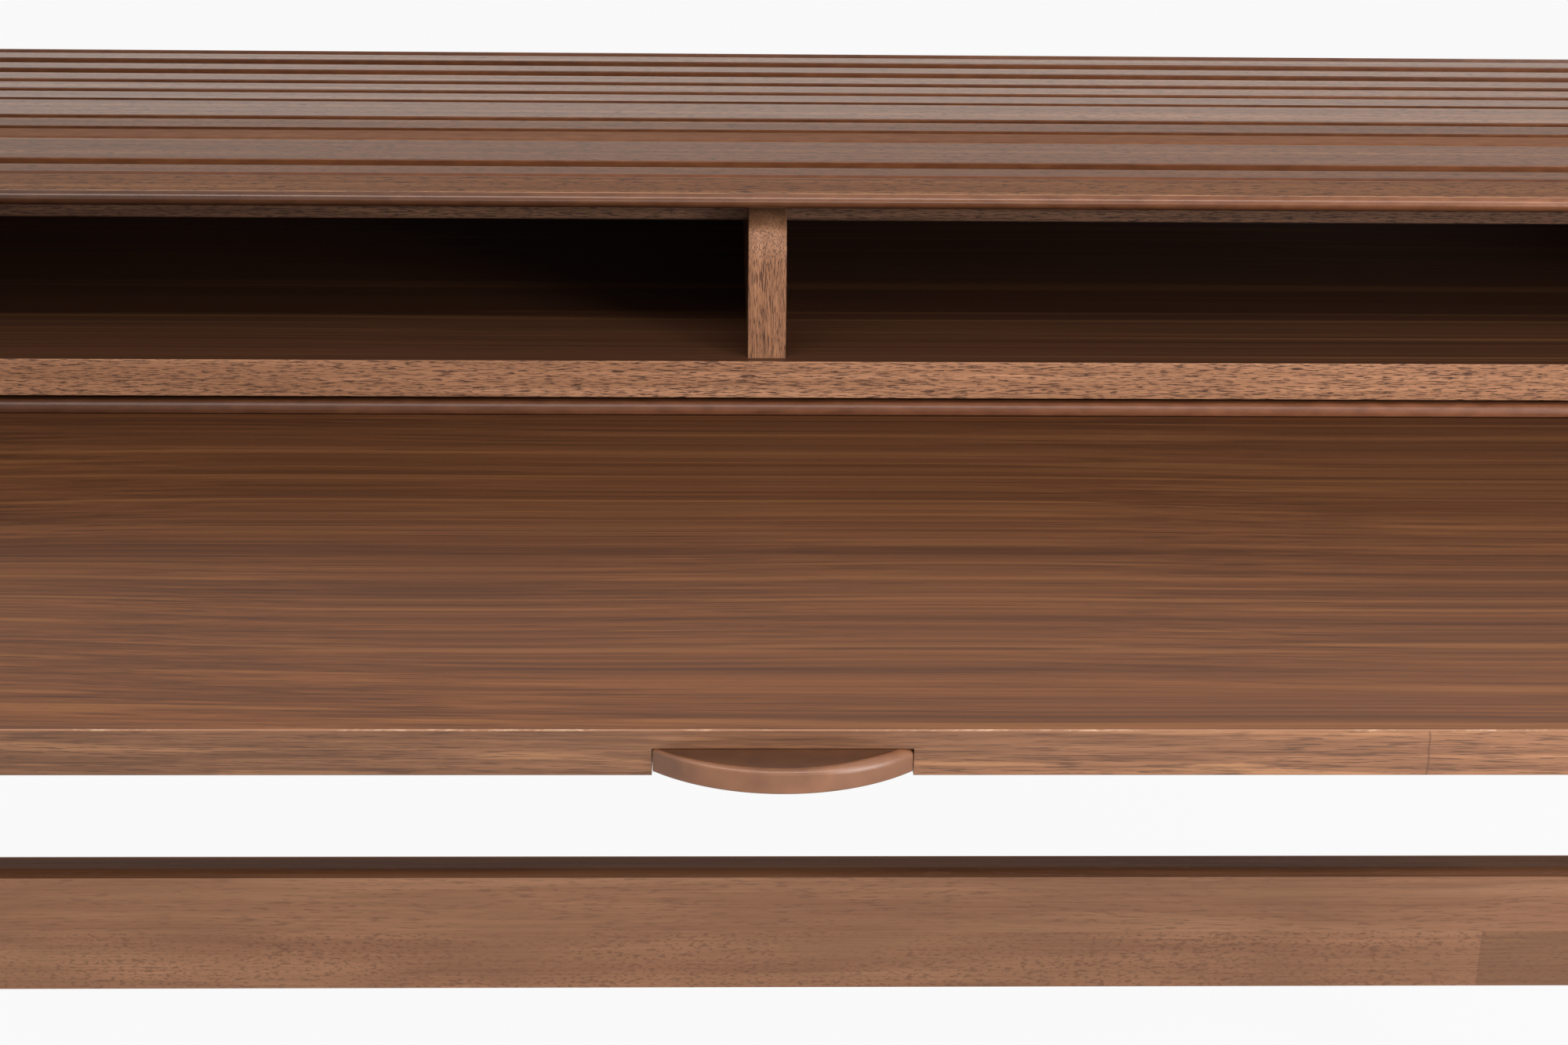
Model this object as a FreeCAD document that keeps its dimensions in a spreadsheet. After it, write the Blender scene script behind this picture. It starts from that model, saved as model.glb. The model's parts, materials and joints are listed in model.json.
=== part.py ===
"""Tambour desk: a slatted roll top that wraps a two-bay shelf box and is drawn back by the pull-out worktop.

The frame has +Z up, +X to the right and +Y to the back, with the floor at z = 0 and the origin under the
middle of the footprint with the worktop pulled out.  The driving sizes are cells of the sheet "Size".
Most places are measured from the shelf line, the front edge of the shelf's top face: backwards for y and
upwards for z.  SHELF_Y and SHELF_Z say where that line is.
"""

import FreeCAD, Part

import math
import os

import Sketcher
from FreeCAD import Placement, Rotation, Vector

SIZES = {
    "desk_width": 1230,
    "desk_height": 850,
    "panel_thickness": 20,
    "panel_rim": 14,
    "panel_foot_gap": 5,
    "shelf_thickness": 18,
    "shelf_depth": 266,
    "compartment_height": 58,
    "board_thickness": 15,
    "board_setback": 41,
    "divider_thickness": 18,
    "divider_setback": 5.7,
    "divider_corner": 25,
    "divider_head": 12,
    "inner_back_thickness": 12,
    "back_cover_thickness": 6,
    "back_cover_inset": 2,
    "back_cover_rise": 15,
    "back_cover_lift": 2,
    "slat_width": 17.5,
    "slat_thickness": 7,
    "slat_rounding": 1.8,
    "slat_end_gap": 0.6,
    "slat_guide_length": 14,
    "lip_reach": 12.25,
    "lip_rounding": 3.4,
    "landing_gap": 0.5,
    "pin_diameter": 4,
    "pin_length": 7.3,
    "tail_room": 3,
    "top_run_gap": 4,
    "bottom_run_gap": 1,
    "groove_depth": 7,
    "groove_inside": 8.3,
    "groove_outside": 7.7,
    "groove_end_room": 1.5,
    "front_curve_radius": 60,
    "front_curve_start": 22,
    "rear_room": 39,
    "slide_travel": 117.5,
    "worktop_thickness": 18,
    "worktop_reach": 346,
    "worktop_tuck": 25,
    "worktop_side_gap": 2,
    "worktop_lipping": 6,
    "bead_depth": 16,
    "bead_height": 7,
    "bead_rounding": 3.4,
    "pull_width": 93,
    "pull_height": 8.9,
    "pull_drop": 7.7,
    "pull_reach": 18,
    "pull_tuck": 20,
    "pull_rounding": 1.5,
    "batten_width": 20,
    "batten_height": 24,
    "batten_setback": 26,
    "batten_end_gap": 9,
    "batten_groove": 8,
    "leg_side_gap": 3.6,
    "rail_height": 10,
    "rail_drop": 2,
    "rail_end_gap": 5,
    "running_gap": 0.5,
    "rail_side_gap": 0.3,
    "leg_top": 50,
    "leg_foot": 32,
    "leg_block": 70,
    "front_leg_reach": 215,
    "rear_leg_inset": 2.5,
    "apron_thickness": 20,
    "apron_height": 55,
    "front_apron_gap": 3,
    "front_apron_height": 38,
    "front_apron_inset": 15,
    "rear_apron_drop": 2,
    "rear_apron_height": 53,
    "tenon_length": 13,
    "tenon_thickness": 10,
    "tenon_shoulder": 5,
    "stretcher_height": 88,
    "stretcher_thickness": 24,
    "stretcher_top": 298.5,
    "stretcher_housing": 20,
    "stretcher_rounding": 5,
    "glide_diameter": 22,
    "glide_height": 5,
    "dowel_diameter": 8,
    "dowel_length": 30,
    "dowel_in_panel": 12,
    "dowel_play": 0.1,
    "dowel_inset": 9,
    "dowel_back_inset": 46,
    "dowel_drop": 8,
    "screw_diameter": 4,
    "screw_head": 8,
    "screw_head_height": 3,
    "screw_bite": 14,
    "screw_first": 60,
    "screw_last": 65,
}

# Gaps between the slats over the visible top, from the lip to the back: the canvas has slack, so the slats
# lie close together in places and drawn apart in others.
TOP_GAPS = (4, 12, 3, 3, 10.5, 9.5, 1, 3.5, 6.5, 7.5, 10.5, 11)
# Slats behind and under the box, evenly spaced from the last of the top run to the tail bead.
HIDDEN_SLATS = 19
DOWELS_IN_A_ROW = 3
SCREWS_IN_A_RAIL = 3

# Heights of the track's two straight runs over and under the box, measured from the shelf line.
TOP_RUN = (
    "(Size.compartment_height + Size.board_thickness + Size.top_run_gap + Size.slat_thickness / 2)"
)
BOTTOM_RUN = "(-Size.shelf_thickness - Size.bottom_run_gap - Size.slat_thickness / 2)"
WORKTOP_TOP = f"({BOTTOM_RUN} - Size.slat_thickness / 2 - Size.bottom_run_gap)"
WORKTOP_UNDER = f"({WORKTOP_TOP} - Size.worktop_thickness)"
PANEL_FOOT = f"({WORKTOP_UNDER} - Size.panel_foot_gap)"
BOX_BACK = "(Size.shelf_depth + Size.inner_back_thickness)"
REAR_START = f"({BOX_BACK} + Size.rear_room)"
REAR_RADIUS = f"(({TOP_RUN} - {BOTTOM_RUN}) / 2)"
REAR_REACH = f"({REAR_START} + {REAR_RADIUS} + Size.panel_rim)"
FRONT_RUN = "(Size.front_curve_start - Size.front_curve_radius)"
BOARD_TOP = "(Size.compartment_height + Size.board_thickness)"
SHELF_Y = f"((Size.worktop_reach + Size.pull_reach - {REAR_REACH}) / 2)"
SHELF_Z = f"(Size.desk_height - Size.panel_rim - {TOP_RUN})"
LEG_TOP_Z = f"({SHELF_Z} + {PANEL_FOOT})"
HALF_INNER = "(Size.desk_width / 2 - Size.panel_thickness)"
PIECE_END = f"({HALF_INNER} - Size.slat_end_gap)"
LEG_INNER = "(Size.desk_width / 2 - Size.leg_top)"
BATTEN_OUTER = f"({LEG_INNER} - Size.leg_side_gap)"
RAIL_INNER = f"({BATTEN_OUTER} - Size.batten_groove + Size.running_gap)"
REAR_LEG_BACK = f"({REAR_REACH} - Size.rear_leg_inset)"
REAR_LEG_FRONT = f"({REAR_LEG_BACK} - Size.leg_top)"
FRONT_LEG_REAR = "(Size.leg_top - Size.front_leg_reach)"
RAIL_TOP = f"({PANEL_FOOT} - Size.rail_drop)"
REAR_FRAME_FRONT = f"({REAR_LEG_BACK} - Size.front_apron_inset - Size.apron_thickness)"
RAIL_FRONT = f"({FRONT_LEG_REAR} + Size.rail_end_gap)"
RAIL_BACK = f"({REAR_LEG_FRONT} - Size.rail_end_gap)"
DOWEL_FIRST = "(Size.board_setback + Size.dowel_inset)"
DOWEL_LAST = "(Size.shelf_depth - Size.dowel_back_inset)"


def back(expression):
    """Returns the expression for a y that is measured backwards from the shelf line."""
    return f"({SHELF_Y} + {expression})"


def above(expression):
    """Returns the expression for a z that is measured upwards from the shelf line."""
    return f"({SHELF_Z} + {expression})"


def outward(sign, inner, outer):
    """Returns the low and high x of a piece on the side that sign names, -1 for left and 1 for right."""
    return (inner, outer) if sign > 0 else (f"-({outer})", f"-({inner})")


def both_ways(half):
    """Returns the low and high x of a piece that is centred."""
    return f"-({half})", half


class Track:
    """The centre line that the slats follow, in the plane of y and z from the shelf line.

    Distance along it is counted from the worktop's top face, up the front run, round the front curve, back
    over the box, round the rear half circle and forward under the shelf.
    """

    def __init__(self, doc):
        self.top = value(doc, TOP_RUN)
        self.bottom = value(doc, BOTTOM_RUN)
        self.foot = value(doc, WORKTOP_TOP)
        self.front_y = value(doc, FRONT_RUN)
        self.front_radius = value(doc, "Size.front_curve_radius")
        self.front_centre = (value(doc, "Size.front_curve_start"), self.top - self.front_radius)
        self.rear_radius = value(doc, REAR_RADIUS)
        self.rear_centre = (value(doc, REAR_START), self.top - self.rear_radius)
        self.rise = self.front_centre[1] - self.foot
        self.front_arc = self.front_radius * math.pi / 2
        self.top_length = self.rear_centre[0] - self.front_centre[0]
        self.rear_arc = self.rear_radius * math.pi

    def point(self, distance):
        """Returns (y, z) at that distance along the track."""
        if distance <= self.rise:
            return self.front_y, self.foot + distance
        distance -= self.rise
        if distance <= self.front_arc:
            return on_circle(self.front_centre, self.front_radius, math.pi - distance / self.front_radius)
        distance -= self.front_arc
        if distance <= self.top_length:
            return self.front_centre[0] + distance, self.top
        distance -= self.top_length
        if distance <= self.rear_arc:
            return on_circle(self.rear_centre, self.rear_radius, math.pi / 2 - distance / self.rear_radius)
        distance -= self.rear_arc
        return self.rear_centre[0] - distance, self.bottom

    def under_shelf(self, y):
        """Returns the distance along the track of the bottom run's point at that y."""
        return self.rise + self.front_arc + self.top_length + self.rear_arc + self.rear_centre[0] - y

    def pose(self, distance, guide):
        """Returns (y, z, angle) of a slat whose two guide points, guide apart, lie on the track."""
        front = self.point(distance - guide / 2)
        rear = self.point(distance + guide / 2)
        angle = math.atan2(rear[1] - front[1], rear[0] - front[0])
        return (front[0] + rear[0]) / 2, (front[1] + rear[1]) / 2, angle


def on_circle(centre, radius, angle):
    """Returns the point of a circle at that angle, measured from +y towards +z."""
    return centre[0] + radius * math.cos(angle), centre[1] + radius * math.sin(angle)


def slat_distances(doc, track):
    """Returns each slat centre's distance along the track with the worktop pulled out, the lip's first."""
    distances = [value(doc, "Size.lip_reach + Size.landing_gap + Size.slide_travel")]
    width = value(doc, "Size.slat_width")
    for gap in TOP_GAPS:
        distances.append(distances[-1] + width + gap)
    last_y = value(doc, "Size.bead_depth + Size.tail_room + Size.slat_width / 2")
    pitch = (track.under_shelf(last_y) - distances[-1]) / HIDDEN_SLATS
    for _ in range(HIDDEN_SLATS):
        distances.append(distances[-1] + pitch)
    return distances


def make_sheet(doc):
    """Adds the sheet of driving sizes, in millimetres."""
    sheet = doc.addObject("Spreadsheet::Sheet", "Size")
    for row, (name, size) in enumerate(SIZES.items(), start=1):
        sheet.set(f"A{row}", name)
        sheet.set(f"B{row}", str(size))
        sheet.setAlias(f"B{row}", name)
    doc.recompute()


def value(doc, expression):
    """Returns the number that an expression of the sheet's cells gives."""
    return float(doc.getObject("Size").evalExpression(expression))


def box(doc, name, x, y, z):
    """Adds a block; x, y and z each hold the expressions of its low and high side."""
    block = doc.addObject("Part::Box", name)
    block.Label = name
    for axis, size, (low, high) in zip("xyz", ("Length", "Width", "Height"), (x, y, z)):
        block.setExpression(size, f"({high}) - ({low})")
        block.setExpression(f"Placement.Base.{axis}", low)
    return block


def rod(doc, name, diameter, x, y, z):
    """Adds a round rod along X; x holds the expressions of its low and high end."""
    cylinder = doc.addObject("Part::Cylinder", name)
    cylinder.Placement = Placement(Vector(0, 0, 0), Rotation(Vector(0, 1, 0), 90))
    cylinder.setExpression("Radius", f"({diameter}) / 2")
    cylinder.setExpression("Height", f"({x[1]}) - ({x[0]})")
    for axis, low in zip("xyz", (x[0], y, z)):
        cylinder.setExpression(f"Placement.Base.{axis}", low)
    return cylinder


def cut(doc, name, base, tools):
    """Cuts the tools out of the base and gives the result its name."""
    result = doc.addObject("Part::Cut", name)
    result.Label = name
    result.Base = base
    result.Tool = tools[0] if len(tools) == 1 else group(doc, f"{name}_cuts", tools)
    return result


def fuse(doc, name, pieces):
    """Joins the pieces into one solid and gives it its name."""
    result = doc.addObject("Part::MultiFuse", name)
    result.Label = name
    result.Shapes = pieces
    return result


def group(doc, name, pieces):
    """Keeps the pieces as separate solids of one object."""
    result = doc.addObject("Part::Compound", name)
    result.Label = name
    result.Links = pieces
    return result


def new_body(doc, name, x="0", y=SHELF_Y, z=SHELF_Z):
    """Adds a body whose origin lies at x, y and z, by default on the shelf line."""
    body = doc.addObject("PartDesign::Body", name)
    body.Label = name
    for axis, place in zip("xyz", (x, y, z)):
        body.setExpression(f"Placement.Base.{axis}", place)
    return body


def arc_between(start, end, radius, turn):
    """Returns the short arc from start to end that turns left (turn 1) or right (turn -1)."""
    chord = end - start
    rise = math.sqrt(max(radius ** 2 - (chord.Length / 2) ** 2, 0))
    normal = Vector(-chord.y, chord.x, 0).normalize()
    centre = (start + end) * 0.5 + normal * rise * turn
    first, last = (start, end) if turn > 0 else (end, start)
    angles = [math.atan2(p.y - centre.y, p.x - centre.x) for p in (first, last)]
    return Part.ArcOfCircle(Part.Circle(centre, Vector(0, 0, 1), radius), angles[0], angles[1])


def profile(doc, body, name, role, corners, holes=()):
    """Adds a closed sketch on one of the body's own origin planes, with every corner bound.

    A corner is (u, v), or (u, v, radius, turn) where the side that follows it is an arc.  A hole is
    (u, v, radius).  All of them but turn are expressions.
    """
    sketch = body.newObject("Sketcher::SketchObject", name)
    plane = next(feature for feature in body.Origin.OriginFeatures if feature.Role == role)
    sketch.AttachmentSupport = (plane, [""])
    sketch.MapMode = "FlatFace"
    points = [Vector(value(doc, corner[0]), value(doc, corner[1]), 0) for corner in corners]
    starts = []
    for index, corner in enumerate(corners):
        start, end = points[index], points[(index + 1) % len(points)]
        if len(corner) == 2:
            sketch.addGeometry(Part.LineSegment(start, end), False)
            starts.append(1)
        else:
            sketch.addGeometry(arc_between(start, end, value(doc, corner[2]), corner[3]), False)
            starts.append(1 if corner[3] > 0 else 2)
    for index, corner in enumerate(corners):
        after = (index + 1) % len(corners)
        sketch.addConstraint(
            Sketcher.Constraint("Coincident", index, 3 - starts[index], after, starts[after])
        )
        place_point(doc, sketch, index, starts[index], corner)
        if len(corner) > 2:
            bind_radius(doc, sketch, index, corner[2])
    for hole in holes:
        centre = Vector(value(doc, hole[0]), value(doc, hole[1]), 0)
        circle = Part.Circle(centre, Vector(0, 0, 1), value(doc, hole[2]))
        index = sketch.addGeometry(circle, False)
        place_point(doc, sketch, index, 3, hole)
        bind_radius(doc, sketch, index, hole[2])
    return sketch


def place_point(doc, sketch, geometry, position, corner):
    """Binds both coordinates of a sketch point to the first two expressions of the corner."""
    for kind, expression in zip(("DistanceX", "DistanceY"), corner[:2]):
        size = value(doc, expression)
        number = sketch.addConstraint(Sketcher.Constraint(kind, -1, 1, geometry, position, size))
        sketch.setExpression(f"Constraints[{number}]", expression)


def bind_radius(doc, sketch, geometry, expression):
    """Binds the radius of a circle or arc of the sketch."""
    constraint = Sketcher.Constraint("Radius", geometry, value(doc, expression))
    number = sketch.addConstraint(constraint)
    sketch.setExpression(f"Constraints[{number}]", expression)


def pad(body, sketch, length, side="One side", backwards=False):
    """Extrudes the sketch along its plane's normal, the other way where backwards is set."""
    feature = body.newObject("PartDesign::Pad", f"{sketch.Name}_pad")
    feature.Profile = sketch
    feature.setExpression("Length", length)
    feature.SideType = side
    feature.Reversed = backwards
    sketch.Visibility = False
    return feature


def pocket(doc, body, sketch, depth, along_normal):
    """Cuts the sketch into the body and checks that it took material away."""
    doc.recompute()
    before = body.Shape.Volume
    feature = body.newObject("PartDesign::Pocket", f"{sketch.Name}_pocket")
    feature.Profile = sketch
    feature.setExpression("Length", depth)
    feature.Reversed = along_normal
    doc.recompute()
    if not body.Shape.Volume < before:
        raise RuntimeError(f"{body.Label}: the pocket {feature.Name} cuts nothing")
    return feature


def rounded(low_u, high_u, low_v, high_v, radii):
    """Returns the corners of a rectangle whose four corners are rounded, from the low one round to the left.

    Each radius is an expression, in the order low-low, high-low, high-high and low-high.
    """
    a, b, c, d = (f"({radius})" for radius in radii)
    return [
        (f"{low_u} + {a}", low_v),
        (f"{high_u} - {b}", low_v, b, 1),
        (high_u, f"{low_v} + {b}"),
        (high_u, f"{high_v} - {c}", c, 1),
        (f"{high_u} - {c}", high_v),
        (f"{low_u} + {d}", high_v, d, 1),
        (low_u, f"{high_v} - {d}"),
        (low_u, f"{low_v} + {a}", a, 1),
    ]


def groove_corners():
    """Returns the corners of the track groove: out along its outer wall and home along its inner wall."""
    room = "Size.pin_diameter / 2 - Size.groove_end_room"
    front_end = f"({WORKTOP_TOP} + Size.lip_reach + Size.landing_gap - {room})"
    rear_end = f"(Size.bead_depth + Size.tail_room + Size.slat_width / 2 - {room})"
    front_mid = f"({TOP_RUN} - Size.front_curve_radius)"
    rear_mid = f"({TOP_RUN} - {REAR_RADIUS})"
    outside = "Size.groove_outside"
    inside = "Size.groove_inside"
    wide = f"({REAR_RADIUS} + {outside})"
    narrow = f"({REAR_RADIUS} - {inside})"
    rear = REAR_START
    front = "Size.front_curve_start"
    return [
        (f"{FRONT_RUN} - {outside}", front_end),
        (f"{FRONT_RUN} - {outside}", front_mid, f"(Size.front_curve_radius + {outside})", -1),
        (front, f"{TOP_RUN} + {outside}"),
        (rear, f"{TOP_RUN} + {outside}", wide, -1),
        (f"{rear} + {wide}", rear_mid, wide, -1),
        (rear, f"{BOTTOM_RUN} - {outside}"),
        (rear_end, f"{BOTTOM_RUN} - {outside}"),
        (rear_end, f"{BOTTOM_RUN} + {inside}"),
        (rear, f"{BOTTOM_RUN} + {inside}", narrow, 1),
        (f"{rear} + {narrow}", rear_mid, narrow, 1),
        (rear, f"{TOP_RUN} - {inside}"),
        (front, f"{TOP_RUN} - {inside}", f"(Size.front_curve_radius - {inside})", 1),
        (f"{FRONT_RUN} + {inside}", front_mid),
        (f"{FRONT_RUN} + {inside}", front_end),
    ]


def dowel_places():
    """Returns (y, z) of the dowels in one side panel: a row for the shelf and one for the top board."""
    heights = ("-Size.dowel_drop", "Size.compartment_height + Size.board_thickness / 2")
    pitch = f"({DOWEL_LAST} - {DOWEL_FIRST}) / {DOWELS_IN_A_ROW - 1}"
    return [
        (f"{DOWEL_FIRST} + {number} * {pitch}", height)
        for height in heights
        for number in range(DOWELS_IN_A_ROW)
    ]


def side_panel(doc, name, sign):
    """Makes a side panel with the track groove and the dowel holes in its inner face."""
    body = new_body(doc, name, x=f"{sign} * {HALF_INNER}")
    front = f"({FRONT_RUN} - Size.panel_rim)"
    top = f"({TOP_RUN} + Size.panel_rim)"
    outline = [
        (front, f"{TOP_RUN} - Size.front_curve_radius", "(Size.front_curve_radius + Size.panel_rim)", -1),
        ("Size.front_curve_start", top),
        (REAR_START, top, f"({REAR_RADIUS} + Size.panel_rim)", -1),
        (REAR_REACH, f"{TOP_RUN} - {REAR_RADIUS}"),
        (REAR_REACH, PANEL_FOOT),
        (front, PANEL_FOOT),
    ]
    sketch = profile(doc, body, f"{name}_outline", "YZ_Plane", outline)
    pad(body, sketch, "Size.panel_thickness", backwards=sign < 0)
    track = profile(doc, body, f"{name}_track", "YZ_Plane", groove_corners())
    pocket(doc, body, track, "Size.groove_depth", along_normal=sign > 0)
    radius = "(Size.dowel_diameter + Size.dowel_play) / 2"
    holes = [(y, z, radius) for y, z in dowel_places()]
    bores = profile(doc, body, f"{name}_bores", "YZ_Plane", [], holes)
    pocket(doc, body, bores, "Size.dowel_in_panel", along_normal=sign > 0)
    return body


def dowel_rods(doc, name, sign, diameter):
    """Makes the rods of all the dowels on one side, with that diameter."""
    end = f"({HALF_INNER} + Size.dowel_in_panel)"
    x = outward(sign, f"{end} - Size.dowel_length", end)
    return [
        rod(doc, f"{name}_{number}", diameter, x, back(y), above(z))
        for number, (y, z) in enumerate(dowel_places(), start=1)
    ]


def shelf_box(doc):
    """Makes the fixed two-bay box: shelf, top board, divider, inner back and the cover behind the slats."""
    bores = {}
    dowels = []
    for side, sign in (("left", -1), ("right", 1)):
        bores[side] = dowel_rods(doc, f"dowel_bore_{side}", sign, "Size.dowel_diameter + Size.dowel_play")
        dowels += dowel_rods(doc, f"dowel_{side}", sign, "Size.dowel_diameter")
    x = both_ways(HALF_INNER)
    depth = back("Size.shelf_depth")
    plain = box(doc, "shelf_blank", x, (SHELF_Y, depth), (above("-Size.shelf_thickness"), SHELF_Z))
    low_bores = bores["left"][:DOWELS_IN_A_ROW] + bores["right"][:DOWELS_IN_A_ROW]
    shelf = cut(doc, "shelf", plain, low_bores)
    ceiling = above("Size.compartment_height")
    plain = box(doc, "board_blank", x, (back("Size.board_setback"), depth), (ceiling, above(BOARD_TOP)))
    high_bores = bores["left"][DOWELS_IN_A_ROW:] + bores["right"][DOWELS_IN_A_ROW:]
    board = cut(doc, "top_board", plain, high_bores)
    inner = box(
        doc, "inner_back", x, (depth, back(BOX_BACK)), (above("-Size.shelf_thickness"), above(BOARD_TOP))
    )
    cover_back = f"({REAR_REACH} - Size.back_cover_inset)"
    cover = box(
        doc,
        "back_cover",
        x,
        (back(f"{cover_back} - Size.back_cover_thickness"), back(cover_back)),
        (
            above(f"{PANEL_FOOT} + Size.back_cover_lift"),
            above(f"{TOP_RUN} - {REAR_RADIUS} + Size.back_cover_rise"),
        ),
    )
    return [shelf, board, divider(doc), inner, cover, group(doc, "case_dowels", dowels)]


def divider(doc):
    """Makes the divider, which stands under the top board and rises before it with a rounded corner."""
    body = new_body(doc, "divider")
    head = "(Size.compartment_height + Size.divider_head)"
    corners = [
        ("Size.divider_setback", "0"),
        ("Size.shelf_depth", "0"),
        ("Size.shelf_depth", "Size.compartment_height"),
        ("Size.board_setback", "Size.compartment_height"),
        ("Size.board_setback", head),
        ("Size.divider_setback + Size.divider_corner", head, "Size.divider_corner", 1),
        ("Size.divider_setback", f"{head} - Size.divider_corner"),
    ]
    sketch = profile(doc, body, "divider_outline", "YZ_Plane", corners)
    pad(body, sketch, "Size.divider_thickness", side="Symmetric")
    return body


def slat(doc, name, corners, pose):
    """Makes a slat with a guide pin at each end and lays it on the track."""
    body = doc.addObject("PartDesign::Body", name)
    body.Label = name
    sketch = profile(doc, body, f"{name}_section", "YZ_Plane", corners)
    pad(body, sketch, f"2 * {PIECE_END}", side="Symmetric")
    pins = profile(doc, body, f"{name}_pins", "YZ_Plane", [], [("0", "0", "Size.pin_diameter / 2")])
    pad(body, pins, f"2 * ({PIECE_END} + Size.pin_length)", side="Symmetric")
    y, z, angle = pose
    origin = Vector(0, value(doc, SHELF_Y) + y, value(doc, SHELF_Z) + z)
    body.Placement = Placement(origin, Rotation(Vector(1, 0, 0), math.degrees(angle)))
    return body


def tambour(doc):
    """Makes the curtain: the lip first, then every slat in turn."""
    track = Track(doc)
    guide = value(doc, "Size.slat_guide_length")
    half = "Size.slat_width / 2"
    under, over = "-Size.slat_thickness / 2", "Size.slat_thickness / 2"
    soft, nose = "Size.slat_rounding", "Size.lip_rounding"
    lip = rounded("-Size.lip_reach", half, under, over, (nose, soft, soft, nose))
    plain = rounded(f"-{half}", half, under, over, (soft,) * 4)
    pieces = []
    for index, distance in enumerate(slat_distances(doc, track)):
        name = f"tambour_slat_{index:02d}" if index else "tambour_lip"
        pieces.append(slat(doc, name, plain if index else lip, track.pose(distance, guide)))
    return pieces


def worktop(doc):
    """Makes the sliding worktop: panel, front lipping, half-moon pull, tail bead and two battens."""
    half = f"({HALF_INNER} - Size.worktop_side_gap)"
    height = (above(WORKTOP_UNDER), above(WORKTOP_TOP))
    face = back("-Size.worktop_reach")
    seam = back("(Size.worktop_lipping - Size.worktop_reach)")
    notch_x = both_ways("(Size.pull_width / 2)")
    notch_y = (face, back("(Size.pull_tuck - Size.worktop_reach)"))
    notch = box(doc, "pull_notch", notch_x, notch_y, (height[0], above(f"{WORKTOP_TOP} - Size.pull_drop")))
    blank = box(doc, "panel_blank", both_ways(half), (seam, back("Size.worktop_tuck")), height)
    panel = cut(doc, "worktop_panel", blank, [notch])
    blank = box(doc, "edge_blank", both_ways(half), (face, seam), height)
    edge = cut(doc, "worktop_edge", blank, [notch])
    pieces = [panel, edge, pull(doc), tail_bead(doc, half)]
    for side, sign in (("left", -1), ("right", 1)):
        pieces.append(batten(doc, f"batten_{side}", sign))
    return pieces


def pull(doc):
    """Makes the half-moon pull: a tab let into the notch, with a rounded top arris along its curve."""
    body = new_body(
        doc, "worktop_pull", y=back("-Size.worktop_reach"), z=above(f"{WORKTOP_TOP} - Size.pull_drop")
    )
    half = "Size.pull_width / 2"
    radius = f"((({half}) ^ 2 + Size.pull_reach ^ 2) / (2 * Size.pull_reach))"
    outline = [
        (f"-{half}", "0", radius, 1),
        (half, "0"),
        (half, "Size.pull_tuck"),
        (f"-{half}", "Size.pull_tuck"),
    ]
    sketch = profile(doc, body, "pull_outline", "XY_Plane", outline)
    tab = pad(body, sketch, "Size.pull_height", backwards=True)
    doc.recompute()
    arris = [
        f"Edge{number}"
        for number, edge in enumerate(tab.Shape.Edges, start=1)
        if isinstance(edge.Curve, Part.Circle) and abs(edge.BoundBox.ZMin) < 1e-6
    ]
    fillet = body.newObject("PartDesign::Fillet", "pull_arris")
    fillet.Base = (tab, arris)
    fillet.setExpression("Radius", "Size.pull_rounding")
    return body


def tail_bead(doc, half):
    """Makes the bead across the worktop that holds the tail of the curtain."""
    body = new_body(doc, "tail_bead", z=above(WORKTOP_TOP))
    round_top = "Size.bead_rounding"
    high = "Size.bead_height"
    corners = [
        ("0", "0"),
        ("Size.bead_depth", "0"),
        ("Size.bead_depth", high),
        (round_top, high, round_top, 1),
        ("0", f"{high} - {round_top}"),
    ]
    pad(body, profile(doc, body, "bead_section", "YZ_Plane", corners), f"2 * {half}", side="Symmetric")
    return body


def batten(doc, name, sign):
    """Makes a batten under the worktop, with a groove in its outer side for the rail."""
    x = outward(sign, f"{BATTEN_OUTER} - Size.batten_width", BATTEN_OUTER)
    front = "(Size.batten_setback - Size.worktop_reach)"
    y = (back(front), back(f"{REAR_FRAME_FRONT} - Size.batten_end_gap - Size.slide_travel"))
    z = (above(f"{WORKTOP_UNDER} - Size.batten_height"), above(WORKTOP_UNDER))
    blank = box(doc, f"{name}_blank", x, y, z)
    groove_x = outward(sign, f"{BATTEN_OUTER} - Size.batten_groove", BATTEN_OUTER)
    groove_z = (
        above(f"{RAIL_TOP} - Size.rail_height - Size.rail_side_gap"),
        above(f"{RAIL_TOP} + Size.rail_side_gap"),
    )
    return cut(doc, name, blank, [box(doc, f"{name}_groove", groove_x, y, groove_z)])


def screw(doc, name, sign, y, z):
    """Makes a countersunk wood screw, head inwards, from the rail's inner edge into the apron."""
    shank_x = outward(sign, f"{RAIL_INNER} + Size.screw_head_height", f"{HALF_INNER} + Size.screw_bite")
    shank = rod(doc, f"{name}_shank", "Size.screw_diameter", shank_x, y, z)
    head = doc.addObject("Part::Cone", f"{name}_head")
    head.Placement = Placement(Vector(0, 0, 0), Rotation(Vector(0, 1, 0), 90 * sign))
    head.setExpression("Radius1", "Size.screw_head / 2")
    head.setExpression("Radius2", "Size.screw_diameter / 2")
    head.setExpression("Height", "Size.screw_head_height")
    for axis, place in zip("xyz", (f"{sign} * {RAIL_INNER}", y, z)):
        head.setExpression(f"Placement.Base.{axis}", place)
    return fuse(doc, name, [shank, head])


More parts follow.
